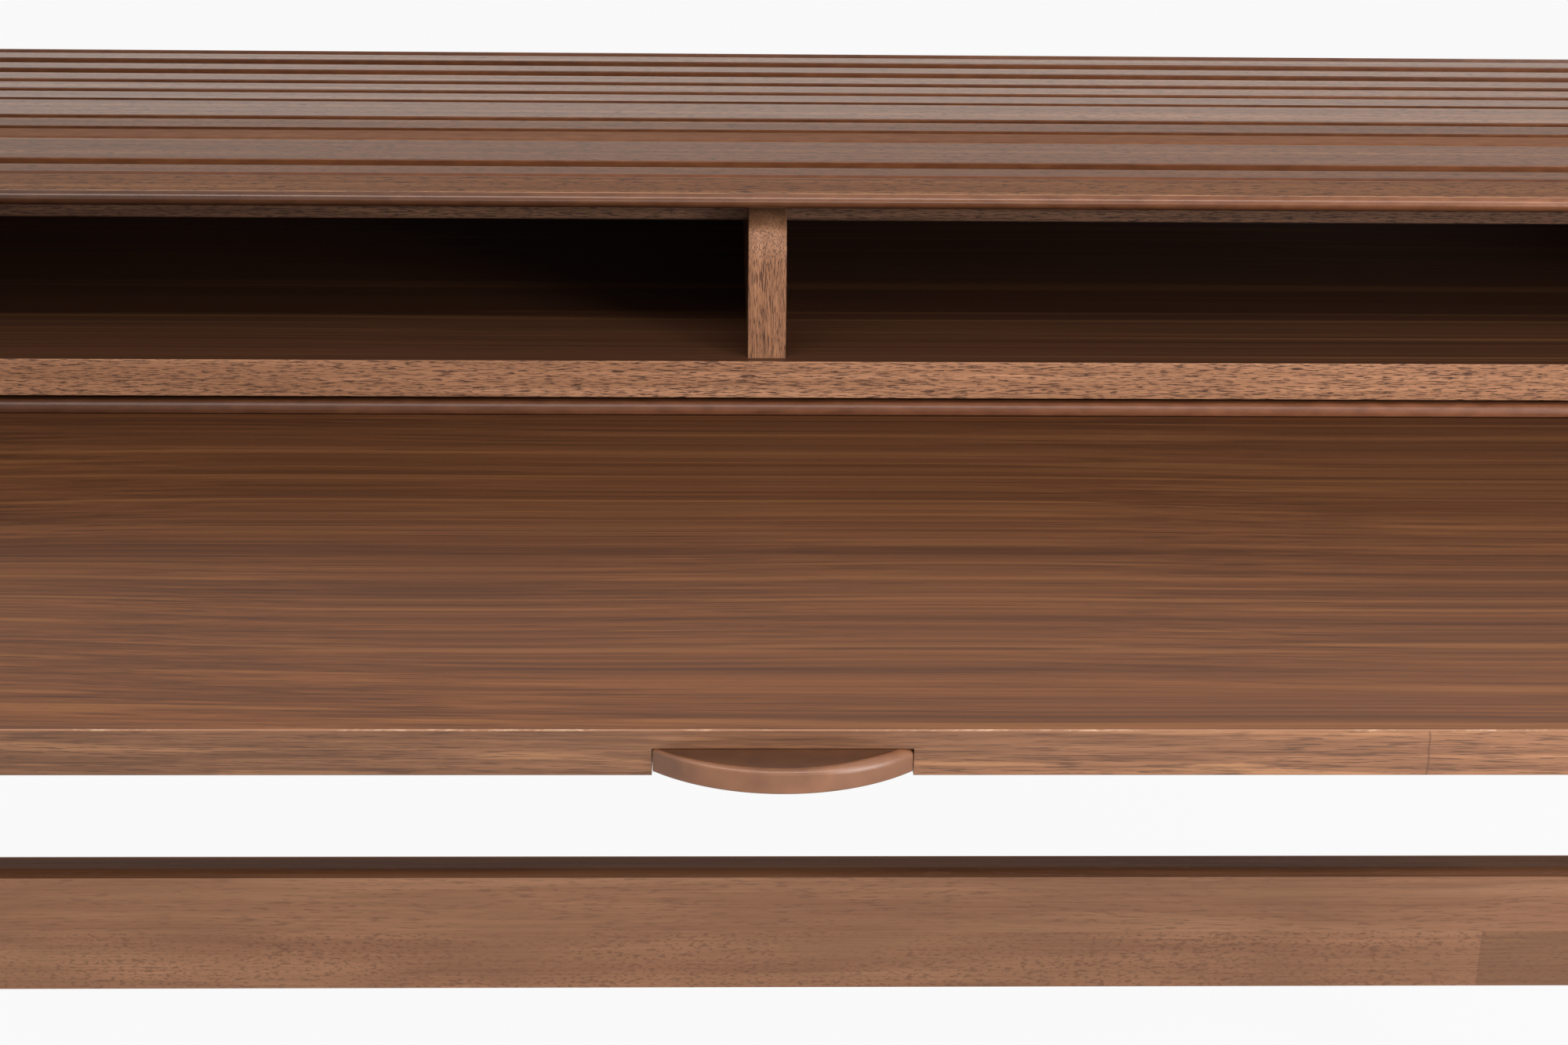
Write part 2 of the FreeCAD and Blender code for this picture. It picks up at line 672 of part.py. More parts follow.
def slide_rails(doc, aprons):
    """Makes the rails that carry the worktop, screwed to the side aprons; returns them and the aprons."""
    pieces = []
    screws = []
    first = f"({RAIL_FRONT} + Size.screw_first)"
    pitch = f"({RAIL_BACK} - Size.screw_last - {first}) / {SCREWS_IN_A_RAIL - 1}"
    for side, sign in (("left", -1), ("right", 1)):
        x = outward(sign, RAIL_INNER, HALF_INNER)
        z = (above(f"{RAIL_TOP} - Size.rail_height"), above(RAIL_TOP))
        blank = box(doc, f"rail_{side}_blank", x, (back(RAIL_FRONT), back(RAIL_BACK)), z)
        middle = above(f"{RAIL_TOP} - Size.rail_height / 2")
        bores = [
            screw(
                doc,
                f"screw_{side}_{number}",
                sign,
                back(f"{first} + {number} * {pitch}"),
                middle,
            )
            for number in range(SCREWS_IN_A_RAIL)
        ]
        pieces.append(cut(doc, f"slide_rail_{side}", blank, bores))
        pieces.append(cut(doc, f"side_apron_{side}", aprons[side], bores))
        screws += bores
    pieces.append(group(doc, "rail_screws", screws))
    return pieces


def tenoned_aprons(doc):
    """Makes the four apron blanks with their tenons; returns the aprons and the tenons by corner."""
    tenons = {corner: [] for corner in ("front_left", "front_right", "rear_left", "rear_right")}
    shoulder = "Size.tenon_shoulder"
    half_tenon = "Size.tenon_thickness / 2"
    aprons = {}
    top = PANEL_FOOT
    for side, sign in (("left", -1), ("right", 1)):
        x = outward(sign, HALF_INNER, "Size.desk_width / 2")
        z = (above(f"{top} - Size.apron_height"), above(top))
        rail = box(doc, f"side_rail_{side}", x, (back(FRONT_LEG_REAR), back(REAR_LEG_FRONT)), z)
        middle = "(Size.desk_width / 2 - Size.panel_thickness / 2)"
        tenon_x = outward(sign, f"{middle} - {half_tenon}", f"{middle} + {half_tenon}")
        tenon_z = (above(f"{top} - Size.apron_height + {shoulder}"), above(f"{top} - {shoulder}"))
        ends = {
            "front": (back(f"{FRONT_LEG_REAR} - Size.tenon_length"), back(FRONT_LEG_REAR)),
            "rear": (back(REAR_LEG_FRONT), back(f"{REAR_LEG_FRONT} + Size.tenon_length")),
        }
        for end, y in ends.items():
            tenons[f"{end}_{side}"].append(box(doc, f"side_tenon_{end}_{side}", tenon_x, y, tenon_z))
        own = [tenons[f"front_{side}"][0], tenons[f"rear_{side}"][0]]
        aprons[side] = fuse(doc, f"side_apron_{side}_blank", [rail] + own)
    rows = {
        "front": (
            "(Size.front_apron_inset - Size.front_leg_reach)",
            f"({WORKTOP_UNDER} - Size.batten_height - Size.front_apron_gap)",
            "Size.front_apron_height",
        ),
        "rear": (
            REAR_FRAME_FRONT,
            f"({top} - Size.rear_apron_drop)",
            "Size.rear_apron_height",
        ),
    }
    for end, (near, high, tall) in rows.items():
        y = (back(near), back(f"{near} + Size.apron_thickness"))
        rail = box(
            doc, f"{end}_rail", both_ways(LEG_INNER), y, (above(f"{high} - {tall}"), above(high))
        )
        middle = f"({near} + Size.apron_thickness / 2)"
        tenon_y = (back(f"{middle} - {half_tenon}"), back(f"{middle} + {half_tenon}"))
        tenon_z = (above(f"{high} - {tall} + {shoulder}"), above(f"{high} - {shoulder}"))
        own = []
        for side, sign in (("left", -1), ("right", 1)):
            x = outward(sign, LEG_INNER, f"{LEG_INNER} + Size.tenon_length")
            own.append(box(doc, f"{end}_tenon_{side}", x, tenon_y, tenon_z))
            tenons[f"{end}_{side}"].append(own[-1])
        aprons[end] = fuse(doc, f"{end}_apron", [rail] + own)
    return aprons, tenons


def stretcher(doc):
    """Makes the rear stretcher, its top arrises rounded and its ends housed in the rear legs."""
    middle = f"({REAR_FRAME_FRONT} + Size.apron_thickness / 2)"
    body = new_body(doc, "rear_stretcher", y=back(middle), z="Size.stretcher_top")
    half = "(Size.stretcher_thickness / 2)"
    soft = "Size.stretcher_rounding"
    corners = [
        (f"-{half}", "-Size.stretcher_height"),
        (half, "-Size.stretcher_height"),
        (half, f"-{soft}", soft, 1),
        (f"{half} - {soft}", "0"),
        (f"{soft} - {half}", "0", soft, 1),
        (f"-{half}", f"-{soft}"),
    ]
    sketch = profile(doc, body, "stretcher_section", "YZ_Plane", corners)
    pad(body, sketch, f"2 * ({HALF_INNER})", side="Symmetric")
    return body


def leg(doc, name, sign, facing, y, cuts):
    """Makes a leg: a square block at the top and a taper on its two inner faces down to the glide."""
    body = new_body(doc, f"{name}_blank", x=f"{sign} * Size.desk_width / 2", y=y, z=LEG_TOP_Z)

    def square(label, size):
        low_u, high_u = ("0", size) if sign < 0 else (f"-{size}", "0")
        low_v, high_v = ("0", size) if facing < 0 else (f"-{size}", "0")
        corners = [(low_u, low_v), (high_u, low_v), (high_u, high_v), (low_u, high_v)]
        return profile(doc, body, f"{name}_{label}", "XY_Plane", corners)

    pad(body, square("block", "Size.leg_top"), "Size.leg_block", backwards=True)
    upper = square("upper", "Size.leg_top")
    upper.setExpression("AttachmentOffset.Base.z", "-Size.leg_block")
    lower = square("lower", "Size.leg_foot")
    lower.setExpression("AttachmentOffset.Base.z", f"Size.glide_height - {LEG_TOP_Z}")
    taper = body.newObject("PartDesign::AdditiveLoft", f"{name}_taper")
    taper.Profile = upper
    taper.Sections = [lower]
    taper.Ruled = True
    return cut(doc, name, body, cuts)


def legs_and_glides(doc, tenons, beam):
    """Makes the four legs with their mortises, and a glide under each."""
    pieces = []
    glides = []
    rows = (("front", -1, back("-Size.front_leg_reach")), ("rear", 1, back(REAR_LEG_BACK)))
    for end, facing, y in rows:
        for side, sign in (("left", -1), ("right", 1)):
            corner = f"{end}_{side}"
            cuts = tenons[corner] + ([beam] if end == "rear" else [])
            pieces.append(leg(doc, f"leg_{corner}", sign, facing, y, cuts))
            glide = doc.addObject("Part::Cylinder", f"glide_{corner}")
            glide.setExpression("Radius", "Size.glide_diameter / 2")
            glide.setExpression("Height", "Size.glide_height")
            glide.setExpression("Placement.Base.x", f"{sign} * (Size.desk_width / 2 - Size.leg_foot / 2)")
            glide.setExpression("Placement.Base.y", f"{y} - {facing} * Size.leg_foot / 2")
            glides.append(glide)
    pieces.append(group(doc, "foot_glides", glides))
    return pieces


def under_frame(doc):
    """Makes everything below the side panels."""
    aprons, tenons = tenoned_aprons(doc)
    beam = stretcher(doc)
    pieces = [aprons["front"], aprons["rear"], beam]
    return pieces + slide_rails(doc, aprons) + legs_and_glides(doc, tenons, beam)


def check(doc, pieces):
    """Raises where an object failed or a piece has no sound solid."""
    for thing in doc.Objects:
        if "Invalid" in thing.State or "Error" in thing.State:
            raise RuntimeError(f"{thing.Label} is {thing.State}")
    for piece in pieces:
        shape = piece.Shape
        if shape.isNull() or not shape.isValid() or not shape.Solids:
            raise RuntimeError(f"{piece.Label} has no sound solid")


def main():
    """Builds the desk and writes one STEP file for each piece."""
    doc = FreeCAD.newDocument("tambour_desk")
    make_sheet(doc)
    pieces = [side_panel(doc, "side_panel_left", -1), side_panel(doc, "side_panel_right", 1)]
    pieces += shelf_box(doc) + tambour(doc) + worktop(doc) + under_frame(doc)
    doc.recompute()
    check(doc, pieces)
    os.makedirs("parts", exist_ok=True)
    for piece in pieces:
        piece.Shape.exportStep(f"parts/{piece.Label}.step")
    print(f"{len(pieces)} pieces")


main()
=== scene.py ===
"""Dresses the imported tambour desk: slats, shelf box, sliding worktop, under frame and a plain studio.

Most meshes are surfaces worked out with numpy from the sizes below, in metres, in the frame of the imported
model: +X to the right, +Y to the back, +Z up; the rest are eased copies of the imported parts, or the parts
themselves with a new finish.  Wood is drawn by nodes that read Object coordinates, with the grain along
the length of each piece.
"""

from __future__ import annotations

import json
import logging
import math
from copy import copy
from dataclasses import dataclass, field, replace
from enum import Enum
from functools import cached_property, reduce
from typing import Callable, ClassVar, Iterable, Sequence

import bmesh
import bpy
import numpy as np
from mathutils import Matrix, Vector


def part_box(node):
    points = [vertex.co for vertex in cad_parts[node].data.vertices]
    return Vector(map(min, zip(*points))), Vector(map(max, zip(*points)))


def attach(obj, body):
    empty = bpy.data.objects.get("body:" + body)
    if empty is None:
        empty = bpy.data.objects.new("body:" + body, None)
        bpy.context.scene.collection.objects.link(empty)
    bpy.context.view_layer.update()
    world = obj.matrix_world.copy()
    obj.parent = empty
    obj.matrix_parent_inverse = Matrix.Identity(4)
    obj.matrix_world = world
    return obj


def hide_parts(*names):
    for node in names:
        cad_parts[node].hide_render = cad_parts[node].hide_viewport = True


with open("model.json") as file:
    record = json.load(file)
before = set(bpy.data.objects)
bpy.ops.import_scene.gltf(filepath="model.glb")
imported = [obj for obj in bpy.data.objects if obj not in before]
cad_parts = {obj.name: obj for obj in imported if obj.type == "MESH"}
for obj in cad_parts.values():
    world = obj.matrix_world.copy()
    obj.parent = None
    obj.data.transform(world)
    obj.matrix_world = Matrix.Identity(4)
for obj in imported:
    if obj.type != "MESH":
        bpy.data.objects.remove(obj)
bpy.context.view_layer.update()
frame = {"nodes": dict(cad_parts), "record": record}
MM = 0.001
log = logging.getLogger("tambour_desk")

Rgb = tuple[float, float, float]
Array = np.ndarray
Socket = bpy.types.NodeSocket
Colour = Socket | Rgb
Materials = Sequence[bpy.types.Material]
Wander = Callable[[Array], Array]


class Grain(Enum):
    """The axis along which the fibres of a piece run; the value is the order (along, across, across)."""

    X = (0, 1, 2)
    Y = (1, 2, 0)
    Z = (2, 0, 1)


def shade(red: float, green: float, blue: float) -> tuple[float, float, float, float]:
    """Turns a display colour of 0 to 255 into the linear colour that a shader socket takes.

    Args:
        red: Display red.
        green: Display green.
        blue: Display blue.

    Returns:
        The linear colour with alpha 1.
    """
    channels = np.array([red, green, blue]) / 255.0
    linear = np.where(channels <= 0.04045, channels / 12.92, ((channels + 0.055) / 1.055) ** 2.4)
    return (*(float(value) for value in linear), 1.0)


class Graph:
    """A shorthand for building the node tree of one material, or of the world."""

    def __init__(self, holder: bpy.types.Material | bpy.types.World) -> None:
        """Empties the tree of a new material or world.

        Args:
            holder: The material or the world.
        """
        self.holder = holder
        holder.use_nodes = True
        self.tree = holder.node_tree
        self.tree.nodes.clear()

    @staticmethod
    def material(name: str) -> "Graph":
        """Starts a new material with that name."""
        return Graph(bpy.data.materials.new(name))

    @cached_property
    def coords(self) -> Socket:
        """Gives the socket of the Object coordinates."""
        return self.node("TexCoord").outputs["Object"]

    def put(self, socket: Socket, given: object) -> None:
        """Links an input to the given socket, or sets its value.

        Args:
            socket: The input.
            given: A socket or a plain value.
        """
        if isinstance(given, bpy.types.NodeSocket):
            self.tree.links.new(given, socket)
        else:
            socket.default_value = given

    def node(self, kind: str, inputs: dict | None = None, **settings: object) -> bpy.types.Node:
        """Adds a node, sets its properties and fills or links its inputs.

        Args:
            kind: The node's type, without the leading "ShaderNode".
            inputs: Value or socket for each named or numbered input.
            settings: Properties of the node.

        Returns:
            The new node.
        """
        made = self.tree.nodes.new(f"ShaderNode{kind}")
        for key, setting in settings.items():
            setattr(made, key, setting)
        for key, given in (inputs or {}).items():
            self.put(made.inputs[key], given)
        return made

    def maths(self, operation: str, first: object, second: object = 0.0, third: object = 0.0) -> Socket:
        """Adds a Math node and returns its output socket."""
        return self.node("Math", {0: first, 1: second, 2: third}, operation=operation).outputs[0]

    def swing(self, value: Socket, share: float, level: object = 0.0) -> Socket:
        """Returns level + share * (value - 0.5), for a noise that swings about 0.5."""
        return self.maths("MULTIPLY_ADD", self.maths("SUBTRACT", value, 0.5), share, level)

    def mix(self, amount: object, first: Colour, second: Colour, blend: str = "MIX") -> Socket:
        """Adds a colour Mix node, whose colours are inputs 6 and 7.

        Args:
            amount: The share of the second colour.
            first: A colour socket or a display colour.
            second: The same.
            blend: How the second goes on the first.

        Returns:
            The output socket.
        """
        first, second = (shade(*it) if isinstance(it, tuple) else it for it in (first, second))
        inputs = {"Factor": amount, 6: first, 7: second}
        return self.node("Mix", inputs, data_type="RGBA", blend_type=blend).outputs[2]

    def ramp(self, amount: object, low: float, high: float) -> Socket:
        """Adds a clamped Map Range from low..high to 0..1 and returns its output socket."""
        made = self.node("MapRange", {"Value": amount, "From Min": low, "From Max": high}, clamp=True)
        return made.outputs["Result"]

    def noise(
        self, vector: Socket, rates: Sequence[float], detail: float = 2.0, rough: float = 0.5
    ) -> Socket:
        """Adds a noise and returns its factor socket.

        Args:
            vector: Where the noise is read.
            rates: Its grains per metre along each axis.
            detail: Number of finer layers.
            rough: Strength of each finer layer.

        Returns:
            The factor socket.
        """
        scaled = self.node("VectorMath", {0: vector, 1: tuple(rates)}, operation="MULTIPLY").outputs[0]
        inputs = {"Vector": scaled, "Scale": 1.0, "Detail": detail, "Roughness": rough}
        return self.node("TexNoise", inputs).outputs[0]

    def toned(self, colour: Socket, tones: Sequence[Socket]) -> Socket:
        """Multiplies a colour by every tone.

        Args:
            colour: The colour socket.
            tones: Sockets with a factor each, or none.

        Returns:
            The colour socket.
        """
        if not tones:
            return colour
        tone = reduce(lambda first, second: self.maths("MULTIPLY", first, second), tones)
        grey = self.node("CombineColor", {0: tone, 1: tone, 2: tone}).outputs[0]
        return self.mix(1.0, colour, grey, "MULTIPLY")

    def bumped(self, height: Socket, strength: float, distance: float) -> Socket:
        """Adds a Bump node and returns its normal socket."""
        made = self.node("Bump", {"Height": height, "Strength": strength, "Distance": distance})
        return made.outputs["Normal"]

    def finish(self, surface: bpy.types.Node) -> bpy.types.Material | bpy.types.World:
        """Ends the tree.

        Args:
            surface: The shader that goes to the output.

        Returns:
            The material or the world.
        """
        kind = "OutputWorld" if isinstance(self.holder, bpy.types.World) else "OutputMaterial"
        self.node(kind, {"Surface": surface.outputs[0]})
        return self.holder

    def principled(self, inputs: dict[str, object]) -> bpy.types.Material:
        """Ends the material with a Principled shader that has these inputs, and returns it."""
        return self.finish(self.node("BsdfPrincipled", inputs))


@dataclass(frozen=True)
class Fade:
    """An even change of tone along one axis, which paints light and shade into the colour: lighter towards
    the lamps on the right, or darker where a part shades the piece.
    """

    axis: int
    start: float
    end: float
    first: float
    last: float

    def tone(self, graph: Graph) -> Socket:
        """Returns the socket of the tone, which stays level outside the stretch.

        Args:
            graph: The material's graph.

        Returns:
            The output socket.
        """
        along = graph.node("SeparateXYZ", {0: graph.coords}).outputs[self.axis]
        inputs = {0: along, 1: self.start, 2: self.end, 3: self.first, 4: self.last}
        return graph.node("MapRange", inputs, clamp=True).outputs[0]


@dataclass(frozen=True)
class WoodFinish:
    """Walnut under satin lacquer: slow figure, fine fibres, bright streaks and short dark pores.

    Lengths are in metres.  The lines drift sideways by `drift` so that no streak runs dead straight.
    `band` is the strength of the broad bands of the figure and `thread` that of the fine dark lines.
    `crack` is the x of a fine curved crack that runs up the piece.  The rates are grains per metre, and
    each range gives the noise values between which its mark rises from none to full.
    """

    name: str
    dark: Rgb
    middle: Rgb
    light: Rgb
    pore: Rgb
    streak: float = 0.008
    streak_length: float = 1.2
    fibre: float = 0.0009
    drift: float = 0.02
    pore_length: float = 0.006
    pore_width: float = 0.00045
    pore_amount: float = 0.5
    pore_threshold: float = 0.60
    pore_gaps: tuple[float, float] = (0.20, 0.55)
    streak_gain: float = 0.5
    roughness: float = 0.42
    specular: float = 0.5
    bump: float = 0.00004
    cloud: float = 0.18
    band: float = 0.0
    band_width: float = 0.016
    thread: float = 0.0
    thread_width: float = 0.0013
    crack: float | None = None
    fades: tuple[Fade, ...] = ()

    sway_rates: ClassVar[Sequence[float]] = (1.6, 4.0, 4.0)
    patch_rates: ClassVar[Sequence[float]] = (9.0, 30.0, 30.0)
    crack_rates: ClassVar[Sequence[float]] = (0.0, 0.0, 90.0)
    fibre_rate: ClassVar[float] = 6.0
    line_rate: ClassVar[float] = 0.7
    bright_shares: ClassVar[Sequence[float]] = (0.8, 0.45)
    figure_range: ClassVar[Sequence[float]] = (0.34, 0.66)
    thread_range: ClassVar[Sequence[float]] = (0.54, 0.66)
    streak_range: ClassVar[Sequence[float]] = (0.58, 0.64)
    pore_rise: ClassVar[float] = 0.07
    thread_shade: ClassVar[float] = 0.78
    fibre_contrast: ClassVar[float] = 0.5
    fibre_relief: ClassVar[float] = 0.3
    bump_strength: ClassVar[float] = 0.6
    gloss_swing: ClassVar[float] = 0.12
    crack_sway: ClassVar[float] = 4.0 * MM
    crack_core: ClassVar[float] = 0.1 * MM
    crack_edge: ClassVar[float] = 0.5 * MM
    crack_depth: ClassVar[float] = 0.6

    def build(self, grain: Grain) -> bpy.types.Material:
        """Makes the material for pieces whose fibres run along the given axis.

        Args:
            grain: The axis of the fibres.

        Returns:
            The material.
        """
        graph = Graph.material(f"{self.name}_{grain.name.lower()}")
        axes = graph.node("SeparateXYZ", {0: graph.coords}).outputs
        turned = {place: axes[axis] for place, axis in enumerate(grain.value)}
        flat = graph.node("CombineXYZ", turned).outputs[0]
        sway = graph.swing(graph.noise(flat, self.sway_rates, 1.0), self.drift)
        moved = graph.node("CombineXYZ", {1: sway, 2: sway}).outputs[0]
        lines = graph.node("VectorMath", {0: flat, 1: moved}, operation="ADD").outputs[0]

        def drawn(along: float, across: float, detail: float, rough: float = 0.5) -> Socket:
            """Returns a noise with these rates along and across the fibres."""
            return graph.noise(lines, (along, across, across), detail, rough)

        long, wide = self.bright_shares
        figure = drawn(1.0 / self.streak_length, 1.0 / self.streak, 5.0, 0.72)
        fibres = drawn(self.fibre_rate, 1.0 / self.fibre, 1.0)
        bright = drawn(long / self.streak_length, wide / self.streak, 2.0, 0.4)
        pores = drawn(1.0 / self.pore_length, 1.0 / self.pore_width, 2.0, 0.6)
        patches = graph.noise(flat, self.patch_rates)
        if self.band:
            figure = graph.swing(drawn(self.line_rate, 1.0 / self.band_width, 1.0), self.band, figure)
        colour = graph.mix(graph.ramp(figure, *self.figure_range), self.dark, self.middle)
        if self.thread:
            thread = drawn(self.line_rate, 1.0 / self.thread_width, 2.0, 0.6)
            amount = graph.maths("MULTIPLY", graph.ramp(thread, *self.thread_range), self.thread)
            deep = tuple(self.thread_shade * value for value in self.dark)
            colour = graph.mix(amount, colour, deep)
        peak = graph.maths("MULTIPLY", graph.ramp(bright, *self.streak_range), self.streak_gain)
        colour = graph.mix(peak, colour, self.light)
        tones = [graph.swing(fibres, self.fibre_contrast, 1.0), graph.swing(patches, self.cloud, 1.0)]
        # The fades multiply painted light and shade into the colour.
        colour = graph.toned(colour, tones + [fade.tone(graph) for fade in self.fades])
        spots = graph.ramp(pores, self.pore_threshold, self.pore_threshold + self.pore_rise)
        spots = graph.maths("MULTIPLY", spots, self.pore_amount)
        spots = graph.maths("MULTIPLY", spots, graph.ramp(patches, *self.pore_gaps))
        colour = graph.mix(spots, colour, self.pore)
        if self.crack is not None:
            colour = graph.mix(self.crack_line(graph, axes[0]), colour, self.pore)
        height = graph.maths("SUBTRACT", graph.maths("MULTIPLY", fibres, self.fibre_relief), spots)
        return graph.principled(
            {
                "Base Color": colour,
                "Roughness": graph.swing(figure, self.gloss_swing, self.roughness),
                "Normal": graph.bumped(height, self.bump_strength, self.bump),
                "Specular IOR Level": self.specular,
            }
        )

    def crack_line(self, graph: Graph, x: Socket) -> Socket:
        """Draws the crack: full on a line that sways with height, none half a millimetre beside it.

        Args:
            graph: The material's graph.
            x: The socket of the x coordinate.

        Returns:
            The socket of the crack's strength.
        """
        bend = graph.maths("MULTIPLY", graph.noise(graph.coords, self.crack_rates, 1.0), self.crack_sway)
        away = graph.maths("SUBTRACT", graph.maths("SUBTRACT", x, self.crack), bend)
        beside = graph.ramp(graph.maths("ABSOLUTE", away), self.crack_core, self.crack_edge)
        return graph.maths("MULTIPLY", graph.maths("SUBTRACT", 1.0, beside), self.crack_depth)


@dataclass(frozen=True)
class LacquerFinish:
    """Smooth stained lacquer on a shaped edge, with a faint mottle and hardly any pores."""

    name: str
    dark: Rgb
    light: Rgb
    roughness: float = 0.36
    coat: float = 0.0
    specular: float = 0.5
    mottle: float = 0.004
    fades: tuple[Fade, ...] = ()

    mottle_rate: ClassVar[float] = 90.0
    patch_rates: ClassVar[Sequence[float]] = (5.0, 60.0, 60.0)
    grit_rates: ClassVar[Sequence[float]] = (900.0, 900.0, 900.0)
    fine_share: ClassVar[float] = 0.6
    broad_share: ClassVar[float] = 0.5
    tone_range: ClassVar[Sequence[float]] = (0.36, 0.74)
    grit_strength: ClassVar[float] = 0.35
    grit_height: ClassVar[float] = 0.04 * MM
    coat_roughness: ClassVar[float] = 0.25

    def build(self) -> bpy.types.Material:
        """Makes the material, with a mottle drawn out along X over broad patches and a fine grit.

        Returns:
            The material.
        """
        graph = Graph.material(self.name)
        across = 1.0 / self.mottle
        fine = graph.noise(graph.coords, (self.mottle_rate, across, across), 3.0)
        broad = graph.noise(graph.coords, self.patch_rates)
        grit = graph.noise(graph.coords, self.grit_rates, 1.0)
        patches = graph.maths("MULTIPLY", broad, self.broad_share)
        amount = graph.ramp(graph.maths("MULTIPLY_ADD", fine, self.fine_share, patches), *self.tone_range)
        colour = graph.mix(amount, self.dark, self.light)
        return graph.principled(
            {
                # The fades multiply painted light and shade into the colour.
                "Base Color": graph.toned(colour, [fade.tone(graph) for fade in self.fades]),
                "Roughness": self.roughness,
                "Normal": graph.bumped(grit, self.grit_strength, self.grit_height),
                "Specular IOR Level": self.specular,
                "Coat Weight": self.coat,
                "Coat Roughness": self.coat_roughness,
            }
        )


@dataclass(frozen=True)
class WornFinish:
    """A rubbed arris: the stain is worn to pale wood in stretches of uneven length along X.

    The wood is stained where the noise is under `low` and worn where it is over `high`.
    """

    name: str
    stained: Rgb
    worn: Rgb
    low: float
    high: float

    stretch_rates: ClassVar[Sequence[float]] = (30.0, 40.0, 40.0)
    fine_rates: ClassVar[Sequence[float]] = (420.0, 1500.0, 1500.0)
    fine_share: ClassVar[float] = 0.25

    def build(self) -> bpy.types.Material:
        """Makes the material, with long worn stretches broken up by a fine noise.

        Returns:
            The material.
        """
        graph = Graph.material(self.name)
        long = graph.noise(graph.coords, self.stretch_rates, 3.0, 0.65)
        fine = graph.maths("MULTIPLY", graph.noise(graph.coords, self.fine_rates), self.fine_share)
        amount = graph.maths("MULTIPLY_ADD", long, 1.0 - self.fine_share, fine)
        colour = graph.mix(graph.ramp(amount, self.low, self.high), self.stained, self.worn)
        return graph.principled({"Base Color": colour, "Roughness": 0.5})


@dataclass(frozen=True)
class PlainFinish:
    """A dull even finish for cloth, nylon and steel, with a fine cross-hatch."""

    name: str
    colour: Rgb
    weave: float = 0.0008
    contrast: float = 0.3
    roughness: float = 0.7
    metallic: float = 0.0

    drawn_out: ClassVar[float] = 0.15
    hatch_range: ClassVar[Sequence[float]] = (0.15, 0.35)
    hatch_strength: ClassVar[float] = 0.4
    hatch_height: ClassVar[float] = 0.1 * MM

    def build(self) -> bpy.types.Material:
        """Makes the material, with a cross-hatch that is the product of two drawn-out noises.

        Returns:
            The material.
        """
        graph = Graph.material(self.name)
        rate = 1.0 / self.weave
        slow = self.drawn_out * rate
        warp = graph.noise(graph.coords, (rate, slow, slow), 1.0)
        weft = graph.noise(graph.coords, (slow, rate, rate), 1.0)
        hatch = graph.maths("MULTIPLY", warp, weft)
        low = tuple(value * (1.0 - self.contrast) for value in self.colour)
        colour = graph.mix(graph.ramp(hatch, *self.hatch_range), low, self.colour)
        return graph.principled(
            {
                "Base Color": colour,
                "Roughness": self.roughness,
                "Metallic": self.metallic,
                "Normal": graph.bumped(hatch, self.hatch_strength, self.hatch_height),
            }
        )


# The fades below paint light and shade into the colours. The first three make pieces lighter towards the
# lamps on the right, some more strongly than others.
LIGHT_FROM_RIGHT = Fade(0, -0.30, 0.30, 0.90, 1.10)
MORE_LIGHT_FROM_RIGHT = Fade(0, -0.28, 0.26, 0.72, 1.16)
MOST_LIGHT_FROM_RIGHT = Fade(0, -0.30, 0.30, 0.52, 1.46)
# Painted shade on the underside of the lip's nose, with painted light on its upper part.
LIP_NOSE_SHADE = Fade(2, 0.8292, 0.8345, 0.45, 1.15)
# Painted shade of the shelf box on the back of the worktop.
SHELF_SHADE = Fade(1, -0.36, -0.04, 1.03, 0.62)
# Painted shade that makes the stretcher's front darker towards its right end, against the key lamp's light
# there.
BEAM_LAMP_SHADE = Fade(0, -0.35, 0.45, 1.03, 0.93)

WORKTOP_VENEER = WoodFinish(
    "worktop_veneer", dark=(88, 50, 26), middle=(126, 78, 46), light=(158, 104, 62), pore=(58, 33, 20),
    streak=0.0030, streak_length=2.4, drift=0.045, pore_length=0.012, pore_width=0.0005, pore_amount=0.35,
    roughness=0.46, specular=0.22, cloud=0.06, band=0.6, band_width=0.014, streak_gain=0.36, thread=0.66,
    fades=(SHELF_SHADE,),
)
# The shelf box's veneer is darker than the panel veneer below: the difference paints the shade inside the
# compartments.
SHADED_CASE_VENEER = WoodFinish(
    "shaded_case_veneer", dark=(62, 36, 22), middle=(90, 56, 36), light=(128, 86, 52), pore=(44, 26, 17),
    streak=0.0024, streak_length=1.4, drift=0.012, pore_amount=0.4, roughness=0.45, specular=0.35,
    band=0.35, thread=0.5, thread_width=0.0012, streak_gain=0.4,
)
PANEL_VENEER = replace(
    SHADED_CASE_VENEER, name="panel_veneer", dark=(92, 57, 36), middle=(126, 83, 56), light=(148, 101, 69),
    pore=(62, 39, 27), thread=0.3,
)
SLAT_FRONT = WoodFinish(
    "slat_veneer_front", dark=(102, 63, 39), middle=(131, 87, 57), light=(152, 106, 72), pore=(60, 39, 27),
    streak=0.0035, streak_length=0.5, drift=0.006, fibre=0.0008, pore_width=0.0006, pore_amount=0.95,
    pore_threshold=0.545, pore_gaps=(0.1, 0.4), specular=0.08, cloud=0.25, thread=0.25, fades=(LIGHT_FROM_RIGHT,),
)
